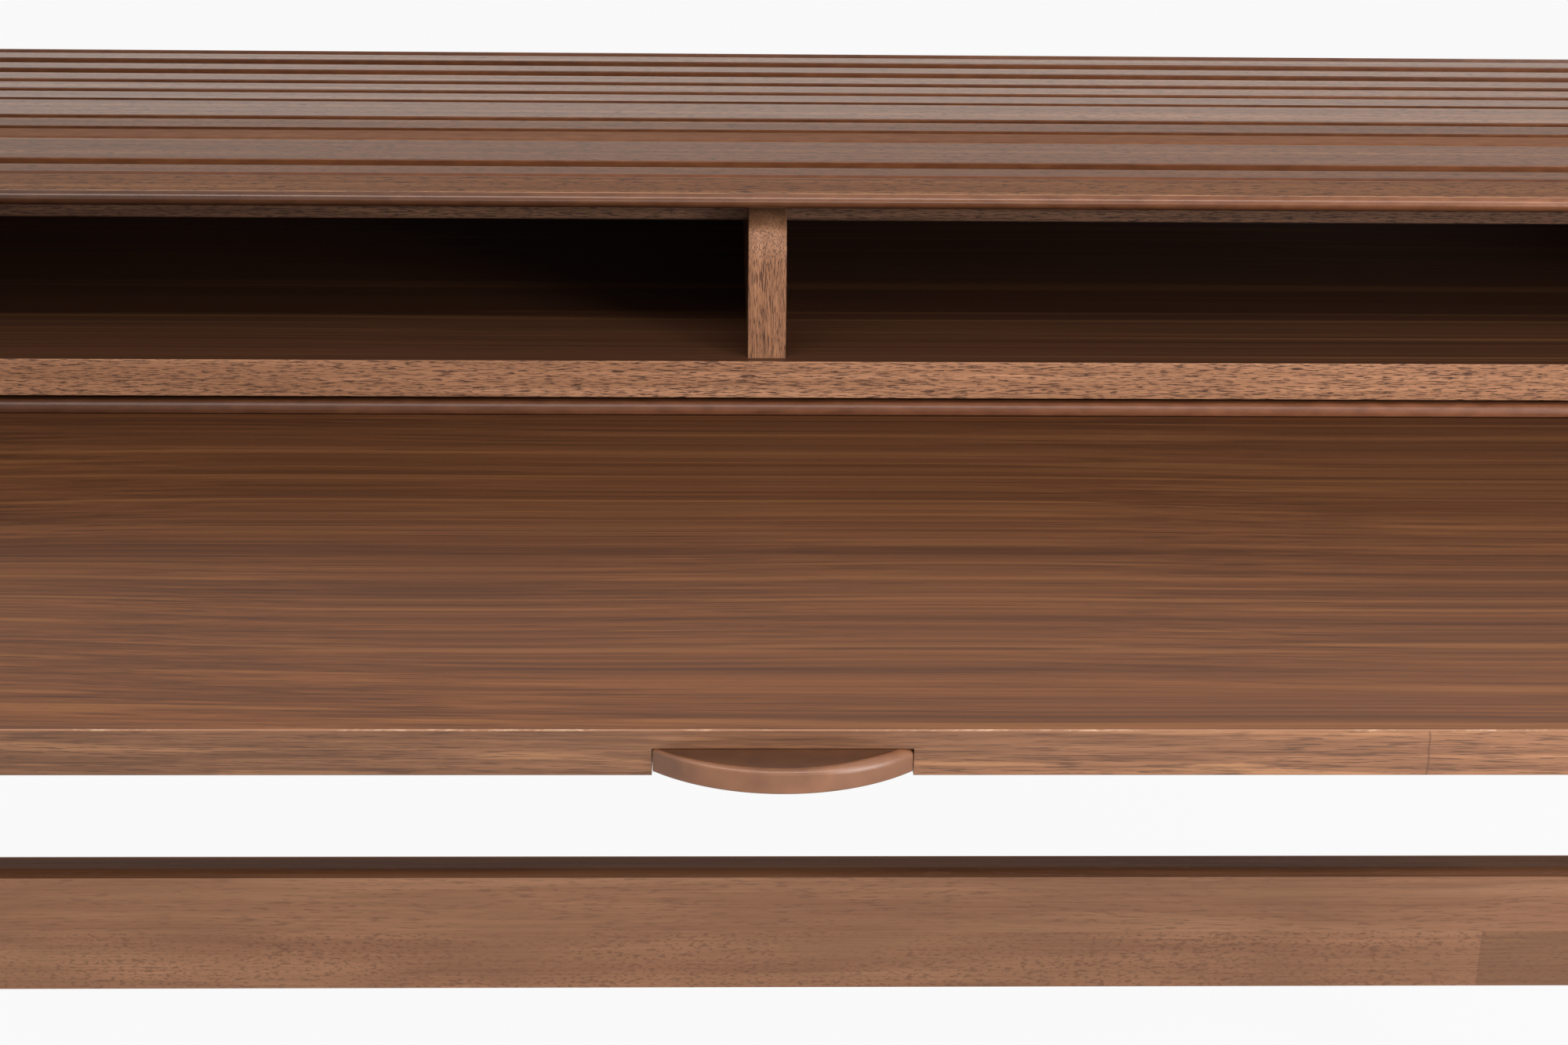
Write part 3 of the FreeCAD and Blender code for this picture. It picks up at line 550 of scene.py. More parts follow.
# The middle, back and rear copies grow lighter: their paler colour paints the sheen that the slats further
# back catch.
SLAT_MIDDLE = replace(
    SLAT_FRONT, name="slat_veneer_middle", middle=(138, 93, 63), specular=0.12, thread=0.4
)
SLAT_BACK = replace(
    SLAT_FRONT, name="slat_veneer_back", dark=(118, 78, 52), middle=(154, 108, 77), light=(172, 126, 94),
    roughness=0.38, specular=0.34, thread=0.45,
)
SLAT_REAR = replace(SLAT_BACK, name="slat_veneer_rear", middle=(166, 118, 86), light=(184, 137, 104))
SOLID_EDGE = WoodFinish(
    "solid_edge", dark=(150, 104, 74), middle=(182, 131, 98), light=(196, 144, 110), pore=(74, 48, 36),
    streak=0.0030, streak_length=0.2, drift=0.012, fibre=0.0006, pore_length=0.0062, pore_width=0.00036,
    pore_amount=0.95, pore_threshold=0.52, pore_gaps=(0.0, 0.3), roughness=0.5, specular=0.3, cloud=0.2,
    bump=0.00008, fades=(LIGHT_FROM_RIGHT,),
)
LIPPING = WoodFinish(
    "lipping", dark=(106, 70, 48), middle=(150, 104, 74), light=(176, 126, 88), pore=(78, 52, 38),
    streak=0.0034, streak_length=0.10, drift=0.010, fibre=0.0007, pore_length=0.014, pore_width=0.0005,
    pore_amount=0.7, pore_threshold=0.54, roughness=0.48, specular=0.35, cloud=0.45, thread=0.3,
    thread_width=0.0009, crack=0.2281, fades=(MORE_LIGHT_FROM_RIGHT,),
)
SOLID_BEAM = WoodFinish(
    "solid_beam", dark=(152, 105, 77), middle=(172, 124, 92), light=(184, 135, 101), pore=(116, 80, 60),
    streak=0.010, streak_length=0.35, pore_length=0.014, pore_width=0.0013, pore_threshold=0.55,
    roughness=0.5, specular=0.3, cloud=0.3, fades=(BEAM_LAMP_SHADE,),
)
BEAM_LOWER = replace(
    SOLID_BEAM, name="beam_lower", streak=0.014, pore_length=0.0045, pore_width=0.0014, pore_amount=0.6,
    pore_threshold=0.53, cloud=0.45,
)
BEAM_END = replace(
    BEAM_LOWER, name="beam_end", dark=(134, 92, 66), middle=(152, 108, 79), light=(164, 119, 88)
)
# Painted shade: the stretcher's top and its upper front rounding are darker because the worktop above
# shades them.
BEAM_TOP_SHADE = replace(
    SOLID_BEAM, name="beam_top_shade", dark=(88, 55, 35), middle=(112, 72, 47), light=(122, 82, 55), specular=0.08
)
FRAME_WOOD = WoodFinish(
    "frame_wood", dark=(112, 73, 50), middle=(146, 99, 70), light=(164, 114, 82), pore=(84, 55, 41),
    streak=0.006, streak_length=0.6, pore_length=0.008, pore_amount=0.45, roughness=0.45, specular=0.35,
)
RUNNER_WOOD = WoodFinish(
    "runner_wood", dark=(158, 124, 90), middle=(182, 148, 112), light=(198, 164, 126), pore=(120, 90, 64),
    streak=0.006, drift=0.01, pore_amount=0.3, roughness=0.55,
)
UPRIGHT_EDGE = replace(
    SOLID_EDGE, name="upright_edge", dark=(132, 90, 63), middle=(164, 115, 83), light=(180, 130, 96)
)
# A darker copy of the solid edge for the top board's front: the darkness paints the shadow that the lip
# casts on it.
SHADED_EDGE = replace(
    SOLID_EDGE, name="shaded_edge", dark=(84, 55, 38), middle=(116, 82, 60), light=(130, 94, 70),
    pore=(52, 34, 25), specular=0.2,
)
EDGE_LACQUER = LacquerFinish(
    "edge_lacquer", dark=(84, 47, 27), light=(118, 71, 43), specular=0.25, fades=(LIGHT_FROM_RIGHT,)
)
LIP_LACQUER = LacquerFinish(
    "lip_lacquer", dark=(86, 51, 32), light=(114, 73, 49), roughness=0.2, specular=0.34,
    fades=(MOST_LIGHT_FROM_RIGHT, LIP_NOSE_SHADE),
)
ROLLED_LACQUER = LacquerFinish(
    "rolled_lacquer", dark=(112, 70, 46), light=(142, 95, 66), roughness=0.6, specular=0.04, fades=(LIGHT_FROM_RIGHT,)
)
BEAD_LACQUER = LacquerFinish(
    "bead_lacquer", dark=(88, 51, 32), light=(118, 73, 49), roughness=0.3, coat=0.05, specular=0.22,
    fades=(MOST_LIGHT_FROM_RIGHT,),
)
# Painted shade: the bead's top, shaded by the shelf edge, and the rounding at its foot, where it meets the
# worktop, are darker.
BEAD_TOP_SHADE = LacquerFinish(
    "bead_top_shade", dark=(60, 34, 22), light=(84, 50, 33), roughness=0.5, specular=0.1
)
PULL_LACQUER = LacquerFinish(
    "pull_lacquer", dark=(108, 68, 44), light=(142, 94, 64), mottle=0.012, coat=0.1
)
PULL_TOP = LacquerFinish(
    "pull_top", dark=(74, 45, 29), light=(94, 59, 39), mottle=0.012, roughness=0.5, specular=0.3
)
WORN_ARRIS = WornFinish("worn_arris", stained=(146, 100, 70), worn=(214, 176, 144), low=0.52, high=0.70)
GLUE_LINE = WornFinish("glue_line", stained=(112, 70, 46), worn=(214, 146, 90), low=0.40, high=0.54)
CANVAS = PlainFinish("canvas", (44, 32, 25))
NYLON = PlainFinish("nylon", (34, 33, 32), contrast=0.1, roughness=0.5)
STEEL = PlainFinish("screw_steel", (150, 150, 148), contrast=0.15, roughness=0.35, metallic=1.0)


@dataclass(frozen=True)
class Corner:
    """One corner of a cross-section in y and z, with its rounding and the finish of what follows it.

    `arc` is the finish number of the rounding and `side` that of the straight side after it.
    """

    y: float
    z: float
    radius: float = 0.0
    arc: int = 0
    side: int = 0


@dataclass
class Section:
    """A closed cross-section, counter-clockwise in y and z, with a normal and a finish for each stretch.

    Each corner of the polygon is replaced by an arc that is tangent to both of its sides: with the turn t
    and the radius r, the arc starts r times tan(t/2) before the corner, and its normals run evenly from
    the first side's normal to the second's.
    """

    corners: Sequence[Corner]
    steps: int = 6
    points: Array = field(init=False)
    starts: Array = field(init=False)
    ends: Array = field(init=False)
    finishes: Array = field(init=False)

    def __post_init__(self) -> None:
        """Works out the points, the normals at both ends of each stretch, and the finish numbers."""
        places = np.array([(corner.y, corner.z) for corner in self.corners])
        runs = np.roll(places, -1, axis=0) - places
        runs = runs / np.linalg.norm(runs, axis=1)[:, None]
        angles = np.arctan2(-runs[:, 0], runs[:, 1])
        points, stretch_normals, finishes = [], [], []
        for index, corner in enumerate(self.corners):
            before, after = angles[index - 1], angles[index]
            turn = (after - before + math.pi) % (2 * math.pi) - math.pi
            if corner.radius > 0:
                reach = corner.radius * math.tan(abs(turn) / 2)
                sign = math.copysign(1.0, turn)
                first = places[index] - runs[index - 1] * reach
                inward = np.array([math.cos(before), math.sin(before)]) * corner.radius * sign
                fan = before + turn * np.linspace(0.0, 1.0, self.steps + 1)
                spokes = np.stack([np.cos(fan), np.sin(fan)], axis=1)
                arc = first - inward + spokes * corner.radius * sign
                points.extend(arc)
                stretch_normals.extend(zip(spokes[:-1], spokes[1:]))
                finishes.extend([corner.arc] * self.steps)
            else:
                points.append(places[index])
            level = np.array([math.cos(after), math.sin(after)])
            stretch_normals.append((level, level))
            finishes.append(corner.side)
        self.points = np.array(points)
        pairs = np.array(stretch_normals)
        self.starts, self.ends = pairs[:, 0], pairs[:, 1]
        self.finishes = np.array(finishes, dtype=np.int32)

    def turned(self, angle: float, y: float, z: float) -> "Section":
        """Turns the section from +y towards +z about its origin, then moves it.

        Args:
            angle: The turn.
            y: The way in y.
            z: The way in z.

        Returns:
            The section in its new place.
        """
        turn = np.array([[math.cos(angle), math.sin(angle)], [-math.sin(angle), math.cos(angle)]])
        moved = copy(self)
        moved.points = self.points @ turn + np.array([y, z])
        moved.starts, moved.ends = self.starts @ turn, self.ends @ turn
        return moved


@dataclass
class Shell:
    """Arrays of one closed surface: vertices, faces, corner normals and finish numbers."""

    vertices: Array
    faces: list[tuple[int, ...]]
    normals: Array
    finishes: Array

    @staticmethod
    def joined(shells: Iterable["Shell"]) -> "Shell":
        """Puts several shells into one, with the vertex numbers counted on.

        Args:
            shells: The shells.

        Returns:
            The shell that holds them all.
        """
        vertices, faces, normals, finishes, base = [], [], [], [], 0
        for shell in shells:
            vertices.append(shell.vertices)
            faces.extend([tuple(number + base for number in face) for face in shell.faces])
            normals.append(shell.normals)
            finishes.append(shell.finishes)
            base += len(shell.vertices)
        return Shell(np.concatenate(vertices), faces, np.concatenate(normals), np.concatenate(finishes))


def swept(section: Section, stations: Array, wander: Wander | None = None, end: int = 0) -> Shell:
    """Carries a section along X and closes both ends.

    The surface is P(i, j) = (x_i, s_j + w(x_i)): station i of the length, point j of the section, and the
    sideways offset w in y and z.  A face joins j to j+1 and i to i+1.

    Args:
        section: The cross-section.
        stations: The x of each station, rising.
        wander: The offset in y and z at each station, or nothing for a straight piece.
        end: The finish number of the two ends.

    Returns:
        The closed shell.
    """
    count, rows = len(section.points), len(stations)
    offset = wander(stations) if wander else np.zeros((rows, 2))
    grid = np.empty((rows, count, 3))
    grid[:, :, 0] = stations[:, None]
    grid[:, :, 1:] = section.points[None] + offset[:, None]
    return closed_grid(grid, section.starts, section.ends, section.finishes, end)


def closed_grid(grid: Array, starts: Array, ends: Array, finishes: Array, end: int) -> Shell:
    """Joins a grid of rows by points into a tube that is closed round each row and at both ends.

    Args:
        grid: Rows of points, (rows, count, 3).
        starts: Normal in y and z, or in x, y and z, at the start of each stretch of a row.
        ends: The same at its end.
        finishes: Finish number of each stretch.
        end: Finish number of the two end faces.

    Returns:
        The closed shell.
    """
    rows, count = grid.shape[:2]
    row = np.arange(rows - 1)[:, None] * count
    here = np.arange(count)[None]
    after = (here + 1) % count
    quads = np.stack([row + here, row + after, row + count + after, row + count + here], axis=2)
    if starts.ndim == 2:
        padded = (np.hstack([np.zeros((count, 1)), plane]) for plane in (starts, ends))
        starts, ends = (np.broadcast_to(plane, grid.shape) for plane in padded)
    normals = np.stack([starts[:-1], ends[:-1], ends[1:], starts[1:]], axis=2).reshape(-1, 3)
    faces = [tuple(quad) for quad in quads.reshape(-1, 4).tolist()]
    low = tuple(reversed(range(count)))
    high = tuple(range((rows - 1) * count, rows * count))
    caps = np.repeat([[-1.0, 0.0, 0.0], [1.0, 0.0, 0.0]], count, axis=0)
    numbers = np.concatenate([np.tile(finishes, rows - 1), [end, end]])
    return Shell(grid.reshape(-1, 3), faces + [low, high], np.concatenate([normals, caps]), numbers)


def spliced(lengths: Iterable[tuple[Section, float, float, int]], end: int = 0) -> Shell:
    """Carries a section along X over each length and puts the lengths into one shell.

    Args:
        lengths: The section, the x of both ends and the number of stations of each length.
        end: The finish number of the ends.

    Returns:
        The shell.
    """
    return Shell.joined(
        swept(section, np.linspace(low, high, count), end=end) for section, low, high, count in lengths
    )


def drum(centre: Vector, radius: float, low: float, high: float, finish: int = 0, sides: int = 20) -> Shell:
    """Makes a round pin along X: every point is the centre plus the radius times (cos a, sin a).

    Args:
        centre: A point of the pin's axis.
        radius: The pin's radius.
        low: The x of its left end.
        high: The x of its right end.
        finish: Its finish number.
        sides: How many faces go round it.

    Returns:
        The closed shell.
    """
    angles = np.linspace(0.0, 2 * math.pi, sides, endpoint=False)
    ring = np.stack([np.cos(angles), np.sin(angles)], axis=1)
    grid = np.empty((2, sides, 3))
    grid[:, :, 0] = np.array([low, high])[:, None]
    grid[:, :, 1:] = ring * radius + np.array([centre.y, centre.z])
    return closed_grid(grid, ring, np.roll(ring, -1, axis=0), np.full(sides, finish), finish)


BODY_OF = {
    node: body for body, nodes in frame["record"]["behaviour"]["bodies"].items() for node in nodes
}


def add_piece(node: str, shell: Shell, materials: Materials) -> None:
    """Makes a mesh object of a shell, which stands for a CAD node.

    Args:
        node: The CAD node.
        shell: The surface.
        materials: The finish of each finish number.
    """
    name = f"{node}_piece"
    mesh = bpy.data.meshes.new(name)
    mesh.from_pydata(shell.vertices.tolist(), [], shell.faces)
    mesh.polygons.foreach_set("material_index", shell.finishes.astype(np.int32))
    mesh.polygons.foreach_set("use_smooth", np.ones(len(shell.faces), dtype=bool))
    mesh.update()
    mesh.normals_split_custom_set(shell.normals.tolist())
    settle(bpy.data.objects.new(name, mesh), node, materials)


def settle(piece: bpy.types.Object, node: str, materials: Materials) -> None:
    """Links a piece to the scene, lets it ride on its node's body and hides the node.

    Args:
        piece: The object.
        node: The CAD node that it stands for.
        materials: The finish of each finish number.
    """
    for material in materials:
        piece.data.materials.append(material)
    bpy.context.scene.collection.objects.link(piece)
    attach(piece, BODY_OF[node])
    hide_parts(node)
    log.info("%s rides on %s: %d faces", piece.name, BODY_OF[node], len(piece.data.polygons))


SAME_POINT = 0.001 * MM
FLAT_ANGLE = math.radians(0.5)
ARRIS_ANGLE = math.radians(35)


def eased_copy(
    node: str, materials: Materials, width: float, choose: Callable[[Array], Array] | None = None
) -> None:
    """Copies a CAD node, merges its loose triangles into whole faces and eases its arrises.

    Args:
        node: The CAD node, which the copy stands for.
        materials: The finishes.
        width: The width of the eased arris.
        choose: Gives the finish number of each face from the faces' normals.
    """
    name = f"{node}_piece"
    work = bmesh.new()
    work.from_mesh(frame["nodes"][node].data)
    bmesh.ops.remove_doubles(work, verts=work.verts, dist=SAME_POINT)
    bmesh.ops.dissolve_limit(
        work, angle_limit=FLAT_ANGLE, verts=work.verts, edges=work.edges, delimit=set()
    )
    mesh = bpy.data.meshes.new(name)
    work.to_mesh(mesh)
    work.free()
    mesh.polygons.foreach_set("use_smooth", np.ones(len(mesh.polygons), dtype=bool))
    if choose:
        normals = np.array([face.normal for face in mesh.polygons])
        mesh.polygons.foreach_set("material_index", choose(normals).astype(np.int32))
    piece = bpy.data.objects.new(name, mesh)
    bevel = piece.modifiers.new("eased", "BEVEL")
    bevel.width = width
    bevel.segments = 3
    bevel.limit_method = "ANGLE"
    bevel.angle_limit = ARRIS_ANGLE
    bevel.harden_normals = True
    bevel.use_clamp_overlap = True
    settle(piece, node, materials)


def repaint(node: str, material: bpy.types.Material) -> None:
    """Gives a CAD node that keeps its shape one finish.

    Args:
        node: The node.
        material: The finish.
    """
    mesh = frame["nodes"][node].data
    mesh.materials.clear()
    mesh.materials.append(material)
    log.info("%s keeps its shape", node)


@dataclass(frozen=True)
class ShelfLine:
    """The front edge of the shelf's top face, from which the desk is measured, and the inner half width."""

    y: float
    z: float
    half: float

    @staticmethod
    def found() -> "ShelfLine":
        """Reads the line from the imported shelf."""
        low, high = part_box("shelf")
        return ShelfLine(low.y, high.z, high.x)


@dataclass
class Track:
    """The slats' centre line: up the front, over the box, round the back and forward under the shelf.

    A point is found from the distance along the line: a straight run adds the distance to its start, and
    an arc turns its radius clockwise from its start angle by distance over radius.
    """

    line: ShelfLine
    lip_reach: float
    top: float = 80.5 * MM
    bottom: float = -22.5 * MM
    foot: float = -27.0 * MM
    front_radius: float = 60.0 * MM
    front_centre: float = 22.0 * MM
    rear_centre: float = 317.0 * MM
    landing_gap: float = 0.5 * MM
    travel: float = 117.5 * MM
    tail_centre: float = 27.75 * MM
    guide: float = 14.0 * MM
    pitches: tuple[float, ...] = (21.5, 29.5, 20.5, 20.5, 28, 27, 18.5, 21, 24, 25, 28, 28.5)
    hidden: int = 19

    def runs(self) -> tuple[float, float, float, float]:
        """Measures the track.

        Returns:
            The lengths of the rise, the front arc, the level run and the rear arc.
        """
        rise = self.top - self.front_radius - self.foot
        rear_arc = (self.top - self.bottom) / 2 * math.pi
        return rise, self.front_radius * math.pi / 2, self.rear_centre - self.front_centre, rear_arc

    def on_arc(self, centre: float, radius: float, angle: float) -> tuple[float, float]:
        """Returns the point at that angle of an arc whose crown is at the track's top."""
        return centre + radius * math.cos(angle), self.top - radius + radius * math.sin(angle)

    def point(self, distance: float) -> tuple[float, float]:
        """Finds a point of the track.

        Args:
            distance: The distance along the track from its foot.

        Returns:
            Its y and z from the shelf line.
        """
        rise, front_arc, level, rear_arc = self.runs()
        if distance <= rise:
            return self.front_centre - self.front_radius, self.foot + distance
        distance -= rise
        if distance <= front_arc:
            angle = math.pi - distance / self.front_radius
            return self.on_arc(self.front_centre, self.front_radius, angle)
        distance -= front_arc
        if distance <= level:
            return self.front_centre + distance, self.top
        distance -= level
        if distance <= rear_arc:
            radius = rear_arc / math.pi
            return self.on_arc(self.rear_centre, radius, math.pi / 2 - distance / radius)
        return self.rear_centre - (distance - rear_arc), self.bottom

    def distances(self) -> list[float]:
        """Spaces the slats: the first by their pitches, the hidden ones evenly.

        Returns:
            The distance of each slat's centre along the track, the lip's first.
        """
        places = [self.lip_reach + self.landing_gap + self.travel]
        for pitch in self.pitches:
            places.append(places[-1] + pitch * MM)
        last = sum(self.runs()) + self.rear_centre - self.tail_centre
        return places + np.linspace(places[-1], last, self.hidden + 1)[1:].tolist()

    def pose(self, distance: float) -> tuple[float, float, float]:
        """Places a slat so that its two guide points lie on the track.

        Args:
            distance: The distance of its centre along the track.

        Returns:
            y, z and the angle of the slat.
        """
        front, rear = self.point(distance - self.guide / 2), self.point(distance + self.guide / 2)
        angle = math.atan2(rear[1] - front[1], rear[0] - front[0])
        y, z = (front[0] + rear[0]) / 2, (front[1] + rear[1]) / 2
        return self.line.y + y, self.line.z + z, angle


@dataclass
class Tambour:
    """The slatted curtain: the lip, the slats with their guide pins, and the canvas behind each slat.

    `tilts` are the small angles, in degrees, at which the first slats stand.  `reaches` names slats whose
    veneer ends further back, or further forward, than half the width, by the length given.  `eased` are
    those with a larger rounding, `rolled` the one whose face is lacquered too, `snug` those whose canvas
    meets the next strip, and `veneer_starts` the first slat of each lighter copy of the veneer, whose paler
    colour paints the sheen that the slats further back catch.
    """

    line: ShelfLine
    width: float = 17.5 * MM
    thickness: float = 7.0 * MM
    outer_round: float = 0.6 * MM
    inner_round: float = 0.9 * MM
    eased_round: float = 3.2 * MM
    butt_round: float = 0.15 * MM
    lip_reach: float = 12.25 * MM
    lip_round: float = 3.4 * MM
    glue_line: float = 0.35 * MM
    end_gap: float = 0.6 * MM
    pin_radius: float = 2.0 * MM
    pin_length: float = 7.3 * MM
    canvas: float = 0.4 * MM
    canvas_inset: float = 14.0 * MM
    canvas_reach: float = 14.4 * MM
    canvas_slack: float = 0.9 * MM
    canvas_gap: float = 0.05 * MM
    canvas_glue: float = 0.02 * MM
    bow: float = 0.25 * MM
    bow_rate: float = 2.3
    bow_phase: float = 2.4
    stations: int = 33
    tilts: Sequence[float] = (0.0, 1.2, 1.0, 1.0, -1.5, 0.8, 1.8, 1.8, -0.5, -0.6, -0.8, -1.6, -1.6)
    reaches: dict[int, float] = field(
        default_factory=lambda: {2: 2.6 * MM, 3: 2.2 * MM, 4: 5.0 * MM, 6: 0.7 * MM, 7: -2.4 * MM}
    )
    eased: Sequence[int] = (1, 4)
    rolled: int = 4
    snug: Sequence[int] = (0, 1, 2, 6, 7, 8, 9, 10, 11, 12)
    veneer_starts: Sequence[int] = (2, 6, 9)

    def build(self) -> None:
        """Makes every slat of the curtain."""
        track = Track(self.line, self.lip_reach)
        places = track.distances()
        halves = [self.width / 2, *(np.diff(places) / 2), self.width / 2]
        veneers = [finish.build(Grain.X) for finish in (SLAT_FRONT, SLAT_MIDDLE, SLAT_BACK, SLAT_REAR)]
        edge, lip, rolled = (finish.build() for finish in (EDGE_LACQUER, LIP_LACQUER, ROLLED_LACQUER))
        line, cloth = GLUE_LINE.build(), CANVAS.build()
        for index, place in enumerate(places):
            name = f"tambour_slat_{index:02d}" if index else "tambour_lip"
            section = self.slat_section(index) if index else self.lip_section()
            y, z, angle = track.pose(place)
            if index < len(self.tilts):
                angle += math.radians(self.tilts[index])
            slack = self.canvas_gap if index in self.snug else self.canvas_slack
            reaches = [min(half, self.canvas_reach) - slack for half in halves[index:index + 2]]
            shell = self.slat(section, (y, z, angle), index, reaches)
            # Slats further back take lighter copies of the veneer, whose colour paints their sheen.
            face = veneers[sum(index >= first for first in self.veneer_starts)]
            side = edge if index else lip
            if index == self.rolled:
                face = side = rolled
            add_piece(name, shell, [face, side, line, cloth])

    def slat_section(self, index: int) -> Section:
        """Draws a slat's section: a veneered face between lacquered edges.

        Args:
            index: The slat's number.

        Returns:
            The section about the slat's own centre.
        """
        half, thick, tight = self.width / 2, self.thickness / 2, self.inner_round
        soft = self.eased_round if index in self.eased else self.outer_round
        front = self.butt_round if index - 1 in self.reaches and index not in self.eased else soft
        back = self.butt_round if index in self.reaches else soft
        return Section(
            [
                Corner(-half, -thick, tight, arc=1, side=1),
                Corner(half, -thick, tight, arc=1, side=1),
                Corner(half + self.reaches.get(index, 0.0), thick, back, arc=1, side=0),
                Corner(-half, thick, front, arc=1, side=1),
            ]
        )

    def lip_section(self) -> Section:
        """Draws the lip's section: a bull-nosed front with a fine line where the veneer ends.

        Returns:
            The section about the lip's own centre.
        """
        half, thick, nose = self.width / 2, self.thickness / 2, self.lip_round
        return Section(
            [
                Corner(-self.lip_reach, -thick, nose, arc=1, side=1),
                Corner(half, -thick, self.inner_round, arc=1, side=1),
                Corner(half, thick, self.outer_round, arc=1, side=0),
                Corner(nose - self.lip_reach + self.glue_line, thick, 0.0, side=2),
                Corner(-self.lip_reach, thick, nose, arc=1, side=1),
            ],
            steps=10,
        )

    def slat(
        self, section: Section, pose: tuple[float, float, float], index: int, reaches: Sequence[float]
    ) -> Shell:
        """Makes one slat with its pins and its strip of canvas, laid on the track.

        Args:
            section: The slat's section about its own centre.
            pose: y, z and angle of the slat.
            index: The slat's number, which sets how it bows.
            reaches: How far the canvas goes forward and back of the slat's centre.

        Returns:
            The shell.
        """
        y, z, angle = pose
        end = self.line.half - self.end_gap

        def wander(x: Array) -> Array:
            """Bows the slat sideways by a sine that dies away at its ends.

            Args:
                x: The stations.

            Returns:
                The offset in y and z at each station.
            """
            still = 1.0 - (x / end) ** 4
            side = self.bow * still * np.sin(self.bow_rate * x + self.bow_phase * index)
            return np.stack([side * math.cos(angle), side * math.sin(angle)], axis=1)

        slat = swept(section.turned(angle, y, z), np.linspace(-end, end, self.stations), wander, end=1)
        under, (before, after) = -self.thickness / 2, reaches
        low, high = under - self.canvas, under - self.canvas_glue
        outline = ((-before, low), (after, low), (after, high), (-before, high))
        cloth = Section([Corner(*corner, side=3) for corner in outline])
        reach = end - self.canvas_inset
        strip = swept(cloth.turned(angle, y, z), np.array([-reach, 0.0, reach]), end=3)
        tip = end + self.pin_length
        centre = Vector((0.0, y, z))
        pins = [drum(centre, self.pin_radius, *ends, finish=1) for ends in ((-tip, -end), (end, tip))]
        return Shell.joined([slat, strip, *pins])


@dataclass
class ShelfBox:
    """The fixed box of two compartments that the curtain runs round."""

    line: ShelfLine
    shelf_depth: float = 266.0 * MM
    shelf_thickness: float = 18.0 * MM
    arris: float = 0.5 * MM
    hidden_arris: float = 0.2 * MM
    board_setback: float = 41.0 * MM
    board_low: float = 58.0 * MM
    board_high: float = 73.0 * MM
    divider_setback: float = 5.7 * MM
    divider_head: float = 70.0 * MM
    divider_corner: float = 25.0 * MM
    divider_half: float = 9.0 * MM
    divider_ease: float = 0.6 * MM
    stations: int = 25

    def build(self) -> None:
        """Makes the box's pieces."""
        veneer, edge, dark = (finish.build(Grain.X) for finish in (SHADED_CASE_VENEER, SOLID_EDGE, SHADED_EDGE))
        upright_edge = UPRIGHT_EDGE.build(Grain.Z)
        upright = SHADED_CASE_VENEER.build(Grain.Y)
        self.board("shelf", 0.0, -self.shelf_thickness, 0.0, [veneer, edge])
        self.board("top_board", self.board_setback, self.board_low, self.board_high, [veneer, dark])
        self.divider([upright, upright_edge])
        eased_copy("inner_back", [veneer], self.arris)
        eased_copy("back_cover", [PANEL_VENEER.build(Grain.X)], self.arris)
        repaint("case_dowels", RUNNER_WOOD.build(Grain.X))

    def board(self, node: str, front: float, low: float, high: float, finishes: Materials) -> None:
        """Makes a board of the box with a solid front edge.

        Args:
            node: The CAD node that it stands for.
            front: The y of its front, from the shelf line.
            low: The z of its underside.
            high: The z of its top.
            finishes: The veneer and the front edge's finish.
        """
        y, z, tight = self.line.y, self.line.z, self.hidden_arris
        back = y + self.shelf_depth
        section = Section(
            [
                Corner(y + front, z + low, self.arris, arc=1, side=0),
                Corner(back, z + low, tight),
                Corner(back, z + high, tight),
                Corner(y + front, z + high, self.arris, arc=1, side=1),
            ],
            steps=4,
        )
        half = self.line.half
        add_piece(node, spliced([(section, -half, half, self.stations)]), finishes)

    def divider(self, finishes: Materials) -> None:
        """Makes the divider with a rounded front corner, carried across its thickness.

        Near each face the outline is drawn in by e(d) = a - sqrt(a^2 - d^2), d being the distance past the
        start of the rounding a, which eases the arrises all round.

        Args:
            finishes: The side's finish and the edge's.
        """
        ease = self.divider_ease
        bend = np.linspace(0.0, math.pi / 2, 5)
        lean = np.concatenate([-np.sin(bend[::-1]), np.sin(bend)])
        insets = ease * (1.0 - np.concatenate([np.cos(bend[::-1]), np.cos(bend)]))
        inner = self.divider_half - ease
        stations = np.repeat([-inner, inner], len(bend)) + ease * lean
        rows = [self.divider_outline(inset) for inset in insets]
        full = rows[len(bend)]
        grid = np.empty((len(stations), len(full.points), 3))
        grid[:, :, 0] = stations[:, None]
        grid[:, :, 1:] = np.stack([row.points for row in rows])
        starts, ends = np.empty(grid.shape), np.empty(grid.shape)
        for target, source in ((starts, full.starts), (ends, full.ends)):
            target[:, :, 0] = lean[:, None]
            target[:, :, 1:] = source * np.sqrt(1.0 - lean ** 2)[:, None, None]
        shell = closed_grid(grid, starts, ends, full.finishes, 0)
        add_piece("divider", shell, finishes)

    def divider_outline(self, inset: float) -> Section:
        """Draws the divider's outline.

        Args:
            inset: How far its front and head are drawn in.

        Returns:
            The outline in y and z.
        """
        y, z = self.line.y, self.line.z
        front, back = y + self.divider_setback + inset, y + self.shelf_depth
        head, ceiling = z + self.divider_head - inset, z + self.board_low
        notch = y + self.board_setback
        return Section(
            [
                Corner(front, z),
                Corner(back, z),
                Corner(back, ceiling),
                Corner(notch, ceiling, side=1),
                Corner(notch, head, side=1),
                Corner(front, head, self.divider_corner - inset, arc=1, side=1),
            ],
            steps=16,
        )


